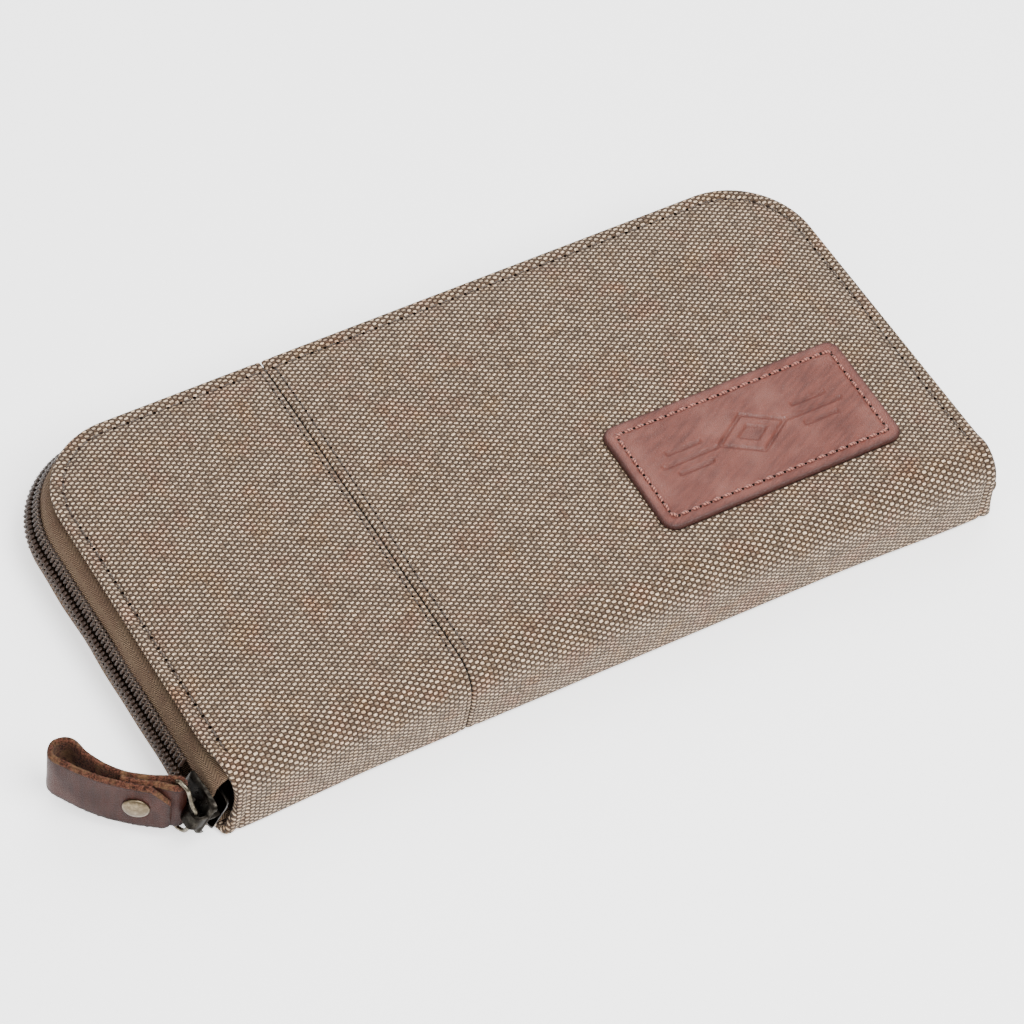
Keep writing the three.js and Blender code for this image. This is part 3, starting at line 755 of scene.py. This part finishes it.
def edge_path(cover, inset, front_s):
    """Round the two ends and the back, inset from the cloth's edge."""
    radius = cover.radius - inset
    left = arc(-CORNER_X, cover.corner_s, radius, range(180, 89, -5))
    right = arc(CORNER_X, cover.corner_s, radius, range(90, -1, -5))
    start, end = (way * (cover.half_at(front_s, way) - inset) for way in (-1, 1))
    return [(start, front_s), *left, *right, (end, front_s)]


def build_covers():
    covers = Cover("lid"), Cover("base")
    parts = (("end", None, SEAM_X - SEAM_HALF_GAP), ("main", SEAM_X + SEAM_HALF_GAP, None))
    for cover in covers:
        for part, left, right in parts:
            nodes = [f"{cover.side}_canvas_{part}_panel"]
            if cover.sign > 0:
                nodes.append(f"spine_canvas_{part}_panel")
            cover.panel(f"{cover.side}_canvas_{part}", left, right, nodes)
    return covers


def build_cloth_stitches(lid):
    """The stitches round the lid's edge, and on both sides of its seam."""
    front = lid.s_at(-42.0)
    back = lid.back_s - 3.2
    path = edge_path(lid, EDGE_STITCH_INSET, front)
    sew_cloth(lid, "lid_edge_stitches", path, "lid_edge_thread", 3.3, 2.3, 0.44)
    for side, x in (("left", SEAM_X - SEAM_STITCH_LEFT), ("right", SEAM_X + SEAM_STITCH_RIGHT)):
        path = [(x, front), (x, back)]
        sew_cloth(lid, f"lid_seam_stitches_{side}", path, f"lid_seam_thread_{side}", 2.9, 2.0, 0.32)


# ---------------------------------------------------------------- zip round three sides
ZIP_RADIUS = CORNER_RADIUS + 2.9
ZIP_LEAN = 0.8
SLIDER_LEAN = 0.75
LEAN_END = 9.0  # dz past which nothing leans
COIN_ZIP_Y = 16.0
ARC = ZIP_RADIUS * math.pi / 2


def rail(distance, front):
    """The lid's edge point and the way outwards, distance along the zip from its end at y = front."""
    past_middle = distance - (CORNER_Y - front + ARC + CORNER_X)
    way = math.copysign(1.0, past_middle)
    along = abs(past_middle)
    if along < CORNER_X:
        return way * along, LID_BACK, math.pi / 2
    turn = min((along - CORNER_X) / ZIP_RADIUS, math.pi / 2)
    angle = math.pi / 2 - way * turn
    down_side = max(along - CORNER_X - ARC, 0.0)
    x = way * CORNER_X + CORNER_RADIUS * math.cos(angle)
    return x, CORNER_Y + CORNER_RADIUS * math.sin(angle) - down_side, angle


def rail_length(front_left, front_right):
    return (CORNER_Y - front_left) + 2 * ARC + 2 * CORNER_X + (CORNER_Y - front_right)


def leaned(n, dz, lean=ZIP_LEAN):
    """The zip leans: its upper row lies further in than its lower one."""
    return n - lean * dz * max(0.0, 1 - abs(dz) / LEAN_END)


def on_rail(distance, front, n, dz):
    x, y, angle = rail(distance, front)
    n = leaned(n, dz)
    return x + n * math.cos(angle), y + n * math.sin(angle), MIDDLE + dz


def thick_section(line, thickness):
    """A closed section round a line: the line itself, then back along the other side."""
    other = []
    for i, point in enumerate(line):
        along = (line[min(i + 1, len(line) - 1)] - line[max(i - 1, 0)]).normalized()
        other.append(point + Vector((-along.y, along.x)) * thickness)
    return list(line) + list(reversed(other))


def build_tape(side, sign):
    """One half of the zip's tape: flat under the cover, then bulging out and round to the chain."""
    front = -47.0
    turn = 0.0 if sign > 0 else 2.0
    root = MIDDLE - 2.15
    controls = [
        (turn - 7, root),
        (turn - 3, root),
        (turn - 0.8, root - 0.12),
        (turn * 0.3 + 1.3, root - 1.05),
        (2.9, 5.35),
        (3.3, 4.2),
        (3.55, 2.2),
    ]
    line = smooth_line(controls, 26)
    section = thick_section(line, -0.45)
    lengths = lengths_along(line)
    across = lengths + list(reversed(lengths))
    stations = steps(0.0, rail_length(front, front), 1.3)
    points = []
    uvs = []
    for distance in stations:
        ripple = 0.10 * math.sin(distance / 4.7) + 0.08 * math.sin(distance / 2.9 + sign)
        for (n, dz), reach in zip(section, across):
            points.append(on_rail(distance, front, n + ripple * clamp((n + 1.0) / 3.0), sign * dz))
            uvs.append((distance, reach))
    faces = tube_faces(0, len(stations), len(section))
    if sign > 0:
        faces = reverse(faces)
    nodes = [f"zip_tape_{side}"]
    make_piece(f"zip_tape_{side}_cloth", points, faces, TAPE_LOOK, side, nodes, uvs=uvs)


# The rings of one coil turn, each (dz, radius, n).
ZIP_RINGS = ((0.34, 0.22, 3.80), (0.46, 0.44, 3.82), (0.95, 0.52, 3.86), (1.35, 0.42, 3.86), (2.2, 0.40, 3.84),
             (2.62, 0.34, 3.76), (2.75, 0.14, 3.70))
COIN_RINGS = ((0.32, 0.2, 0.0), (0.42, 0.4, 0.0), (0.8, 0.46, 0.0), (1.2, 0.38, 0.0), (2.1, 0.34, 0.0),
              (2.25, 0.12, 0.0))


def coil_turns(name, starts, rings, place, body, node):
    """Rounded coil turns, one at each of starts. place gives the point at (length along the row, n, dz)."""
    sides = 6
    points = []
    faces = []
    for start in starts:
        faces += tube_faces(len(points), len(rings), sides)
        for dz, radius, n in rings:
            for turn in turns(sides, 0.5):
                points.append(place(start + radius * math.cos(turn), n + radius * math.sin(turn), dz))
    make_piece(name, points, faces, COIL_LOOK, body, [node])


def build_chain(side, sign):
    """One row of coil turns and the thread that sews it to the tape."""
    front_left = -36.2 if sign > 0 else -38.7
    front_right = -43.3
    pitch = 1.28
    first = pitch / 2 if sign > 0 else pitch
    count = int((rail_length(front_left, front_right) - first - 0.5) / pitch)

    def place(along, n, dz):
        return on_rail(along, front_left, n, sign * dz)

    starts = [first + i * pitch for i in range(count)]
    coil_turns(f"zip_coil_{side}", starts, ZIP_RINGS, place, side, f"zip_teeth_{side}")
    sides = 5
    radius = 0.15
    points = []
    faces = []
    uvs = []
    stations = steps(starts[0], starts[-1], pitch / 4)
    for row, level in enumerate((1.35, 2.15)):
        faces += tube_faces(len(points), len(stations), sides)
        for distance in stations:
            phase = 2 * math.pi * (distance - first) / pitch
            n = 3.98 + 0.24 * math.cos(phase)
            dz = level + 0.14 * math.sin(phase / 2 + row)
            for i, turn in enumerate(turns(sides)):
                points.append(place(distance, n + radius * math.cos(turn), dz + radius * math.sin(turn)))
                uvs.append((distance, i * 0.2))
    make_piece(f"zip_thread_{side}", points, faces, ZIP_THREAD, side, uvs=uvs)


# ---------------------------------------------------------------- label
LABEL_X = 20.3
LABEL_Y = -34.7
LABEL_LENGTH = 62.3
LABEL_WIDTH = 31.0
LABEL_RADIUS = 3.4
LABEL_THICK = 1.35
LABEL_ROUND = 0.7  # its upper edge is rounded this far in
LABEL_STITCH_INSET = 2.9


def label_distance(u, v, inset=0.0):
    """How far (u, v), from the label's middle, lies inside its outline drawn in by inset."""
    radius = max(LABEL_RADIUS - inset, 0.4)
    q = Vector((abs(u) - LABEL_LENGTH / 2 + inset + radius, abs(v) - LABEL_WIDTH / 2 + inset + radius))
    outside = Vector((max(q.x, 0.0), max(q.y, 0.0))).length
    return radius - outside - min(max(q.x, q.y), 0.0)


def stroke(distance, half_width):
    """1 on a pressed line, fading over a fifth of a millimetre at its sides."""
    return clamp((half_width + 0.2 - abs(distance)) / 0.4)


def label_press(u, v):
    """A generic pressed mark: a diamond in a diamond, with three bars on each side."""
    diamond = abs(u) / 1.55 + abs(v)
    press = max(stroke(diamond - 5.6, 0.5), stroke(max(diamond - 2.4, 0.0), 0.2))
    for level in (-3.0, 0.0, 3.0):
        reach = 7.0 if level == 0 else 5.2
        off_end = abs(abs(u) - 16.4) - reach + 0.9 * abs(level) / 3.0
        press = max(press, min(stroke(v - level, 0.5), stroke(max(off_end, 0.0), 0.2)))
    return press


def label_outline(u, v):
    """Draws a place of the square grid in to the rounded corners."""
    straight_u = LABEL_LENGTH / 2 - LABEL_RADIUS
    straight_v = LABEL_WIDTH / 2 - LABEL_RADIUS
    corner = Vector((abs(u) - straight_u, abs(v) - straight_v))
    if corner.x <= 0 or corner.y <= 0:
        return u, v
    pulled = corner.normalized() * max(corner.x, corner.y)
    return math.copysign(straight_u + pulled.x, u), math.copysign(straight_v + pulled.y, v)


def label_top(u, v):
    """The label's height above the cloth, and how dark its burnish is, from 0 to 1."""
    inside = max(label_distance(u, v), 0.0)
    past_stitches = inside - LABEL_STITCH_INSET
    bevel = max(LABEL_ROUND - inside, 0.0)
    shoulder = LABEL_ROUND - math.sqrt(max(LABEL_ROUND**2 - bevel**2, 0.0))
    dome = 0.16 * (1 - math.exp(-max(past_stitches, 0) / 3.0))
    waves = 0.10 * noise.noise(Vector((u / 7.0, v / 5.0, 9.0)))
    press = label_press(u, v)
    top = LABEL_THICK - shoulder - 0.26 * dip(past_stitches, 0.5) + dome + waves - 0.5 * press
    dark = 0.95 * dip(max(inside - 0.15, 0.0), 0.75) + 0.22 * press + 0.18 * dip(past_stitches, 0.4)
    return top, min(1.0, dark)


def build_label(lid):
    """The leather patch, laid on the pillowed canvas, with burnished rounded edges and a pressed mark."""
    cell = 0.34
    columns = int(LABEL_LENGTH / cell)
    rows = int(LABEL_WIDTH / cell)

    def place(u, v, lift):
        return lid.place(LABEL_X + LABEL_LENGTH / 2 + u, lid.s_at(LABEL_Y + LABEL_WIDTH / 2 + v), lift)

    grid = []
    for row in range(rows + 1):
        for column in range(columns + 1):
            u, v = (column / columns - 0.5) * LABEL_LENGTH, (row / rows - 0.5) * LABEL_WIDTH
            grid.append(label_outline(u, v))
    tops = [label_top(u, v) for u, v in grid]
    points = [place(u, v, top) for (u, v), (top, _) in zip(grid, tops)]
    points += [place(u, v, -0.12) for u, v in grid]
    edges = [dark for _, dark in tops] + [1.0] * len(grid)
    faces = slab_faces(rows + 1, columns + 1)
    make_piece("label_leather", points, faces, LABEL_LOOK, "lid", ["label_patch"], attribute=edges)
    bend = 1.4
    reach_u = LABEL_LENGTH / 2 - LABEL_STITCH_INSET - bend
    reach_v = LABEL_WIDTH / 2 - LABEL_STITCH_INSET - bend
    path = []
    for u, v, first in ((1, -1, -90), (1, 1, 0), (-1, 1, 90), (-1, -1, 180)):
        path += arc(u * reach_u, v * reach_v, bend, range(first, first + 91, 30))
    level = LABEL_THICK - 0.2
    sew("label_stitches", "label_stitch_hole_shades", place, path + path[:1], 2.75, LABEL_THREAD, ["label_thread"],
        0.4, (level, level), length=2.2, radius=0.36, sink=0.2, arch=0.26)


# ---------------------------------------------------------------- pull
STRAP = 1.4
LAYER = 1.4  # between the middles of two layers that touch
LINK_HEADING = math.radians(111.6)
LINK_LENGTH = 5.54
PULL_HEADING = math.radians(155.0)
PULL_RADIUS = 28.6  # the strap's sideways curve
PULL_CURVE_START = 2.4
PULL_CURVE_END = 24.4
PULL_LENGTH = 29.9
RIVET_U = 8.4
PULL_HALF = 7.2
PULL_RAISE = 0.5
LOOP_AT = 32.0  # length along the strap, from its tip, of its far loop


def joint_place(name):
    return Vector(next(j for j in frame["joints"] if j["name"] == name)["pos_m"]) / MM


def pull_frame():
    """The pull's start on the link's far bar, and its own axes: u runs outwards and v to the rear."""
    along = Vector((math.cos(PULL_HEADING), math.sin(PULL_HEADING), 0.0))
    rear = Vector((along.y, -along.x, 0.0))
    return joint_place("tab_swing") + UP * PULL_RAISE, along, rear


def curved_place(u, v):
    """Lays a place beside the strap's straight line on its sideways curve."""
    bent = min(max(u, PULL_CURVE_START), PULL_CURVE_END) - PULL_CURVE_START
    straight = u - PULL_CURVE_START - bent
    cos, sin = math.cos(bent / PULL_RADIUS), math.sin(bent / PULL_RADIUS)
    return Vector((
        PULL_CURVE_START + PULL_RADIUS * sin + straight * cos - v * sin,
        PULL_RADIUS * (1 - cos) + straight * sin + v * cos,
    ))


def strap_line(count):
    """Evenly spaced (place, length) on the strap's middle.

    It runs along the front layer, round the far loop, along the rear layer, round the bar, and ends between.
    """
    wrap = 0.5 + STRAP / 2
    loop = 3.0
    far = PULL_LENGTH - loop - STRAP / 2
    controls = [(1.6, -LAYER - 0.5), (4.2, -LAYER - 0.2), (RIVET_U, -LAYER), (RIVET_U + 4, -LAYER)]
    controls += [(far - 4, -LAYER - 0.9), (far, -loop), *arc(far, 0.0, loop, (-50, 0, 50)), (far, loop)]
    controls += [(far - 4, LAYER + 0.9), (RIVET_U + 4, LAYER), (RIVET_U, LAYER), (3.2, LAYER + 0.1)]
    controls += arc(0.0, 0.0, wrap, (80, 130, 180, 230, 285))
    controls += [(2.2, -0.75), (4.6, -0.05), (RIVET_U, 0.0), (RIVET_U + 4, 0.0)]
    dense = smooth_line(controls, 400)
    lengths = lengths_along(dense)
    line = []
    j = 0
    for i in range(count):
        target = lengths[-1] * i / (count - 1)
        while j < len(lengths) - 2 and lengths[j + 1] < target:
            j += 1
        t = (target - lengths[j]) / max(lengths[j + 1] - lengths[j], 1e-9)
        line.append((curved_place(*dense[j].lerp(dense[j + 1], t)), target))
    return line


def strap_reach(length):
    """How far the strap reaches below and above its middle, with the cut-off top corner of its tip."""
    half = PULL_HALF - 0.9 * dip(length - LOOP_AT, 12.0)
    low = half - 1.6 * max(1 - length / 1.6, 0.0) ** 2
    high = min(half, 2.4 + 1.15 * length)
    return -low, high


def build_strap():
    """The pull's one strip of leather: grain side out, with fibrous cut edges."""
    at, along, rear = pull_frame()
    line = strap_line(170)
    total = line[-1][1]
    across = steps(-1.0, 1.0, 0.07)
    section = [(1, t) for t in across] + [(-1, t) for t in reversed(across)]
    rim = 0.13
    points = []
    edges = []
    for i, (point, length) in enumerate(line):
        tangent = (line[min(i + 1, len(line) - 1)][0] - line[max(i - 1, 0)][0]).normalized()
        normal = Vector((-tangent.y, tangent.x))
        low, high = strap_reach(length)
        cut_end = max(min(length, total - length), 0.0)
        for side, t in section:
            off_rim = max(abs(t) - 1 + rim, 0.0) / rim
            rounded = math.sqrt(max(1 - 0.8 * off_rim**2, 0.0))
            fray = 0.16 * noise.noise(Vector((length * 2.3, t * 9.0, side * 3.0)))
            fray *= off_rim + dip(cut_end, 0.4)
            wave = 0.10 * noise.noise(Vector((length / 4.0, t * 1.5, 4.0)))
            place = point + normal * (side * STRAP / 2 * rounded + fray + wave)
            height = lerp(low, high, (t + 1) / 2) + fray
            points.append(at + along * place.x + rear * place.y + UP * height)
            edges.append(0.75 * max(dip(max(1 - rim - abs(t), 0.0) * PULL_HALF, 0.45), dip(cut_end, 0.6)))
    faces = tube_faces(0, len(line), len(section))
    piece = make_piece("pull_strap", points, faces, STRAP_LOOK, "pull_tab", ["pull_leather_strap"],
                       attribute=edges)
    piece.data.materials.append(FLESH_LOOK)
    rims = across[:2] + across[-2:]
    flesh = [int(side > 0 or t in rims) for side, t in section]
    piece.data.polygons.foreach_set("material_index", flesh * (len(line) - 1) + [1, 1])


def ring_mesh(path, radius):
    """Points and faces of a round wire along a closed path."""
    sides = 10
    count = len(path)
    plane = (path[count // 3] - path[0]).cross(path[2 * count // 3] - path[0]).normalized()
    points = []
    faces = []
    for i, point in enumerate(path):
        tangent = (path[(i + 1) % count] - path[i - 1]).normalized()
        across = tangent.cross(plane).normalized()
        for turn in turns(sides):
            points.append(point + (across * math.cos(turn) + plane * math.sin(turn)) * radius)
        ring = i * sides
        following = (i + 1) % count * sides
        for side in range(sides):
            other = (side + 1) % sides
            faces.append((ring + other, ring + side, following + side, following + other))
    return points, faces


def build_link():
    """The ring between the slider's crown and the strap: wire, narrow at the crown and wide at the strap."""
    near, far = 2.1, 8.3
    upper = [(0.0, near - 1.2), (0.3, near), (1.3, near + 1.5), (2.6, far - 0.9), (4.3, far),
             (LINK_LENGTH - 0.3, far - 0.15), (LINK_LENGTH, far - 1.6)]
    lower = [(u, -z) for u, z in reversed(upper)]
    corners = [Vector(corner) for corner in (lower[-1], *upper, *lower[:-1])]
    loop = corners[-1:] + corners + corners[:2]
    at = joint_place("link_swing") + Vector((-0.35, 0.0, 0.0))
    along = Vector((math.cos(LINK_HEADING), math.sin(LINK_HEADING), 0.0))
    samples = 5
    path = []
    for i in range(len(corners)):
        for k in range(samples):
            u, z = spline(*loop[i : i + 4], k / samples)
            path.append(at + along * u + UP * z)
    points, faces = ring_mesh(path, 0.5)
    make_piece("pull_link_wire", points, faces, RING_METAL, "pull_link", ["pull_link"])


def lathe(name, profile, centre, axis, node):
    """A turned brass piece of the pull. profile is (radius, height along the axis)."""
    sides = 40
    axis = axis.normalized()
    across = axis.orthogonal().normalized()
    other = axis.cross(across)
    points = []
    for radius, height in profile:
        for turn in turns(sides):
            way = across * math.cos(turn) + other * math.sin(turn)
            points.append(centre + axis * height + way * radius)
    make_piece(name, points, tube_faces(0, len(profile), sides), BRASS_METAL, "pull_tab", [node])


def build_rivet():
    at, along, rear = pull_frame()
    slope = (RIVET_U - PULL_CURVE_START) / PULL_RADIUS
    normal = along * -math.sin(slope) + rear * math.cos(slope)
    place = curved_place(RIVET_U, 0.0)
    middle = at + along * place.x + rear * place.y
    stack = LAYER + STRAP / 2
    cap = [(1.2, -0.6), (2.8, -0.3), (2.9, -0.05), (3.02, 0.15), (2.98, 0.34), (2.7, 0.6), (2.2, 0.82),
           (1.6, 0.97), (0.9, 1.06), (0.15, 1.09)]
    lathe("pull_rivet_dome", cap, middle - normal * stack, -normal, "pull_rivet_cap")
    back = [(1.0, -3.4), (1.0, -0.4), (2.8, -0.2), (2.95, 0.15), (2.7, 0.4), (1.6, 0.55), (1.2, 0.4),
            (0.15, 0.38)]
    lathe("pull_rivet_washer", back, middle + normal * stack, normal, "pull_rivet_back")


# ---------------------------------------------------------------- zip slider
SLIDER_FRONT = -50.5
SLIDER_LENGTH = 11.0
SLIDER_OUTER = 5.40
SLIDER_SLOT = 3.25  # n of the middle of the slot that the tapes pass through


def slider_place(along, n, dz):
    """A place on the slider. along is from its front end."""
    return -LID_HALF - leaned(n, dz, SLIDER_LEAN), SLIDER_FRONT + along, MIDDLE + dz


def slider_width(along):
    """Half the slider's width: wide where the rows part, and narrower at its back end."""
    nose = 1.1 * max(1 - along / 1.6, 0.0) ** 2
    tail = 0.5 * max(1 - (SLIDER_LENGTH - along) / 0.8, 0.0) ** 2
    return 4.4 - 0.6 * ease((along - 5.6) / 2.2) - nose - tail


def add_loft(points, faces, rings):
    """Joins equal closed rings of points into one closed body."""
    faces += tube_faces(len(points), len(rings), len(rings[0]))
    for ring in rings:
        points += ring


def plate_section(along, reach, flange):
    """A plate's section, (out from the slot's middle, dz), with flanges that turn in towards the slot."""
    width = slider_width(along)
    from_end = min(along, SLIDER_LENGTH - along)
    top = reach - 0.35 * max(1 - from_end / 0.7, 0.0) ** 2
    inner = top - 0.40
    half = [(inner, width - 0.8), (flange, width - 0.6), (flange, width), (top - 0.55, width),
            (top - 0.12, width - 0.35), (top - 0.02, width - 1.1)]
    other = [(n, -dz) for n, dz in half]
    return other[2:] + [(top, 0.0)] + half[::-1] + other[:2]


def build_slider_plates():
    """The slider's two plates, joined by a post between the rows."""
    points = []
    faces = []
    reach = SLIDER_OUTER - SLIDER_SLOT
    for way, flange in ((1, 0.8), (-1, 1.4)):
        rings = []
        for along in (0.0, 0.25, 0.7, 1.6, 3.5, 5.6, 6.4, 7.1, 7.8, 9.5, 10.3, 10.75, 11.0):
            section = plate_section(along, reach, flange)
            ring = [slider_place(along, SLIDER_SLOT + way * n, dz) for n, dz in section]
            rings.append(ring[::-way])
        add_loft(points, faces, rings)
    post = []
    for along, half in ((0.35, 0.12), (0.9, 0.26), (3.6, 0.12)):
        corners = ((-reach + 0.4, -half), (reach - 0.4, -half), (reach - 0.4, half), (-reach + 0.4, half))
        post.append([slider_place(along, SLIDER_SLOT + n, dz) for n, dz in corners])
    add_loft(points, faces, post)
    make_piece("zip_slider_plates", points, faces, DARK_METAL, "zip_slider", ["zip_slider_body"],
               sharp=38)


def build_slider_bridge():
    """The arch on the slider's outer plate that holds the link."""
    controls = [(0.85, -0.3), (0.85, 1.3), (1.25, 1.95), (2.2, 2.15)]
    controls += [(3.6, 2.1), (4.5, 1.7), (5.1, 0.8), (5.6, -0.3)]
    line = smooth_line(controls, 29)
    half = 1.35
    bevel = 0.14
    rings = []
    for dz, thin in ((-half, bevel), (-half + bevel, 0.0), (half - bevel, 0.0), (half, bevel)):
        section = thick_section([point - Vector((0.0, thin)) for point in line], 0.7 - 2 * thin)
        rings.append([slider_place(along, SLIDER_OUTER + n, dz) for along, n in section])
    points = []
    faces = []
    add_loft(points, faces, rings)
    make_piece("zip_slider_bridge", points, faces, DARK_METAL, "zip_slider", ["zip_slider_crown"],
               sharp=38)


# ---------------------------------------------------------------- metal CAD nodes kept as they are
def soften(node, look, width):
    """Keeps a CAD node, with rounded edges and its own material."""
    piece = frame["nodes"][node]
    piece.data.materials.clear()
    piece.data.materials.append(look)
    bevel = piece.modifiers.new("edges", "BEVEL")
    bevel.width = width * MM
    bevel.segments = 2
    bevel.limit_method = "ANGLE"
    bevel.angle_limit = math.radians(30)
    bevel.harden_normals = True


# ---------------------------------------------------------------- inside
def box_of(node):
    """A CAD node's lowest and highest corners in millimetres."""
    return ([c / MM for c in corner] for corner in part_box(node))


def soft_plate(name, node, look, body):
    """A thin flexible panel with rounded edges, in a CAD panel's place."""
    (x0, y0, z0), (x1, y1, z1) = box_of(node)
    columns = steps(0.0, 1.0, 3.0 / (x1 - x0))
    rows = steps(0.0, 1.0, 3.0 / (y1 - y0))
    points = []
    for side in (1, -1):
        for v in rows:
            for u in columns:
                on_edge = u in (0.0, 1.0) or v in (0.0, 1.0)
                stand = (z1 - z0) / 2 * (0.55 if on_edge else 1.0)
                points.append((lerp(x0, x1, u), lerp(y0, y1, v), (z0 + z1) / 2 + side * stand))
    make_piece(name, points, slab_faces(len(rows), len(columns)), look, body, [node])


def flat_layer(name, node, look, body, radius):
    """A flat layer with rounded back corners, in a CAD layer's place."""
    (x0, y0, z0), (x1, y1, z1) = box_of(node)
    half = (x1 - x0) / 2
    outline = [(-half, y0), (half, y0), *arc(half - radius, y1 - radius, radius, range(0, 91, 6))]
    outline += arc(-half + radius, y1 - radius, radius, range(90, 181, 6))
    levels = ((0.12, z0), (0.0, z0 + 0.12), (0.0, z1 - 0.12), (0.12, z1))
    points = []
    for inset, z in levels:
        points += [(x * (1 - inset / x1), y - inset * (1 if y > 0 else -1), z) for x, y in outline]
    make_piece(name, points, tube_faces(0, len(levels), len(outline)), look, body, [node], sharp=40)


def fold_lining(cover):
    """The lining from the middle of the spine round the fold to under the pockets."""
    half = SPINE_HALF - 0.8
    thick = 0.35
    rows = steps(0.0, cover.s_at(-39.0), 0.8)
    columns = steps(-half, half, 3.0)
    points = []
    for side in (0.0, thick):
        for s in rows:
            y, height, normal_y, normal_h = cover.profile(s)
            depth = lerp(1.25, 2.85, ease((s - cover.rise * 0.6) / (cover.arc * 1.1))) + side
            for x in columns:
                inward = depth + 0.12 * noise.noise(Vector((x / 9.0, s / 4.0, 7.0)))
                points.append((x, y - normal_y * inward, MIDDLE + cover.sign * (height - normal_h * inward)))
    faces = slab_faces(len(rows), len(columns))
    if cover.sign < 0:
        faces = reverse(faces)
    nodes = ["spine_lining"]
    cover.bend(make_piece(f"{cover.side}_fold_lining", points, faces, LINING_LOOK, nodes=nodes))


def build_inside():
    for side, radius in (("lid", CORNER_RADIUS - 3), ("base", CORNER_RADIUS - 1)):
        flat_layer(f"{side}_stiffener", f"{side}_board", BOARD_LOOK, side, radius)
        flat_layer(f"{side}_lining_cloth", f"{side}_lining", LINING_LOOK, side, CORNER_RADIUS - 2.5)
    for side in ("lid", "base"):
        soft_plate(f"{side}_note_pocket_leather", f"{side}_note_pocket", POCKET_LOOK, side)
    for column in ("left", "right"):
        for row in range(1, 5):
            node = f"card_slot_{column}_{row}"
            soft_plate(f"{node}_leather", node, POCKET_LOOK, "lid")
    for side in ("front", "back"):
        soft_plate(f"coin_panel_{side}_leather", f"coin_panel_{side}", POCKET_LOOK, "base")
        soft_plate(f"coin_tape_{side}_cloth", f"coin_tape_{side}", TAPE_LOOK, "base")


def build_coin_chain(side, sign):
    """The coin pocket's straight row of coil turns."""
    (x0, _, z0), (x1, _, z1) = box_of(f"coin_teeth_{side}")
    pitch = 1.2
    first = 0.4 if sign > 0 else 0.4 + pitch / 2
    starts = [first + i * pitch for i in range(int((x1 - x0 - 0.8) / pitch))]

    def place(along, n, dz):
        return x0 + along, COIN_ZIP_Y + sign * dz, (z0 + z1) / 2 + n

    coil_turns(f"coin_coil_{side}", starts, COIN_RINGS, place, "base", f"coin_teeth_{side}")


# ---------------------------------------------------------------- stage
def direction(azimuth, elevation):
    """A unit vector, with azimuth from the front (-y) towards +x, in radians."""
    level = math.cos(elevation)
    return Vector((math.sin(azimuth) * level, -math.cos(azimuth) * level, math.sin(elevation)))


def build_stage():
    reach = 3.0
    mesh = bpy.data.meshes.new("floor")
    mesh.from_pydata([(-reach, -reach, 0), (reach, -reach, 0), (reach, reach, 0), (-reach, reach, 0)], [],
                     [(0, 1, 2, 3)])
    floor = bpy.data.objects.new("floor", mesh)
    bpy.context.collection.objects.link(floor)
    look = Look("floor", roughness=0.9, Emission_Color=(1.0, 1.0, 1.0, 1.0), Emission_Strength=1.1)
    mesh.materials.append(look.finish((0.9, 0.9, 0.9)))
    floor.location.z = -0.0005

    world = bpy.data.worlds.new("studio")
    bpy.context.scene.world = world
    world.use_nodes = True
    background = world.node_tree.nodes["Background"]
    background.inputs["Color"].default_value = (1.0, 1.0, 1.0, 1.0)
    background.inputs["Strength"].default_value = 0.7

    for name, azimuth, elevation, energy, size in (
        ("key", 10, 60, 17.0, 0.6),
        ("fill", -75, 40, 3.0, 0.7),
        ("back", 150, 50, 7.0, 0.8),
    ):
        light = bpy.data.lights.new(name, "AREA")
        light.energy = energy
        light.size = size
        lamp = bpy.data.objects.new(name, light)
        away = direction(math.radians(azimuth), math.radians(elevation))
        lamp.location = away * 0.9
        lamp.rotation_mode = "QUATERNION"
        lamp.rotation_quaternion = away.to_track_quat("Z", "Y")
        bpy.context.collection.objects.link(lamp)


def build_camera():
    target = Vector((1.96, -1.25, 0.0)) * MM
    azimuth, elevation, roll = (math.radians(a) for a in (-36.8, 52.1, 8.61))
    distance = 1091.7 * MM
    back = direction(azimuth, elevation)
    data = bpy.data.cameras.new("camera")
    data.sensor_width = 36.0
    data.lens = 170.9
    data.clip_start = 0.1
    data.clip_end = 20.0
    camera = bpy.data.objects.new("camera", data)
    camera.location = target + back * distance
    camera.rotation_mode = "QUATERNION"
    camera.rotation_quaternion = (-back).to_track_quat("-Z", "Y") @ Quaternion((0, 0, 1), roll)
    bpy.context.collection.objects.link(camera)
    bpy.context.scene.camera = camera


build_camera()
lid_cover, base_cover = build_covers()
build_cloth_stitches(lid_cover)
for zip_side, zip_sign in (("lid", 1), ("base", -1)):
    build_tape(zip_side, zip_sign)
    build_chain(zip_side, zip_sign)
build_label(lid_cover)
build_strap()
build_link()
build_rivet()
build_slider_plates()
build_slider_bridge()
fold_lining(lid_cover)
fold_lining(base_cover)
build_inside()
build_coin_chain("front", -1)
build_coin_chain("back", 1)
for metal_node in ("zip_end_stop", "coin_end_stop", "coin_slider_body", "coin_puller"):
    soften(metal_node, DARK_METAL, 0.15)
build_stage()
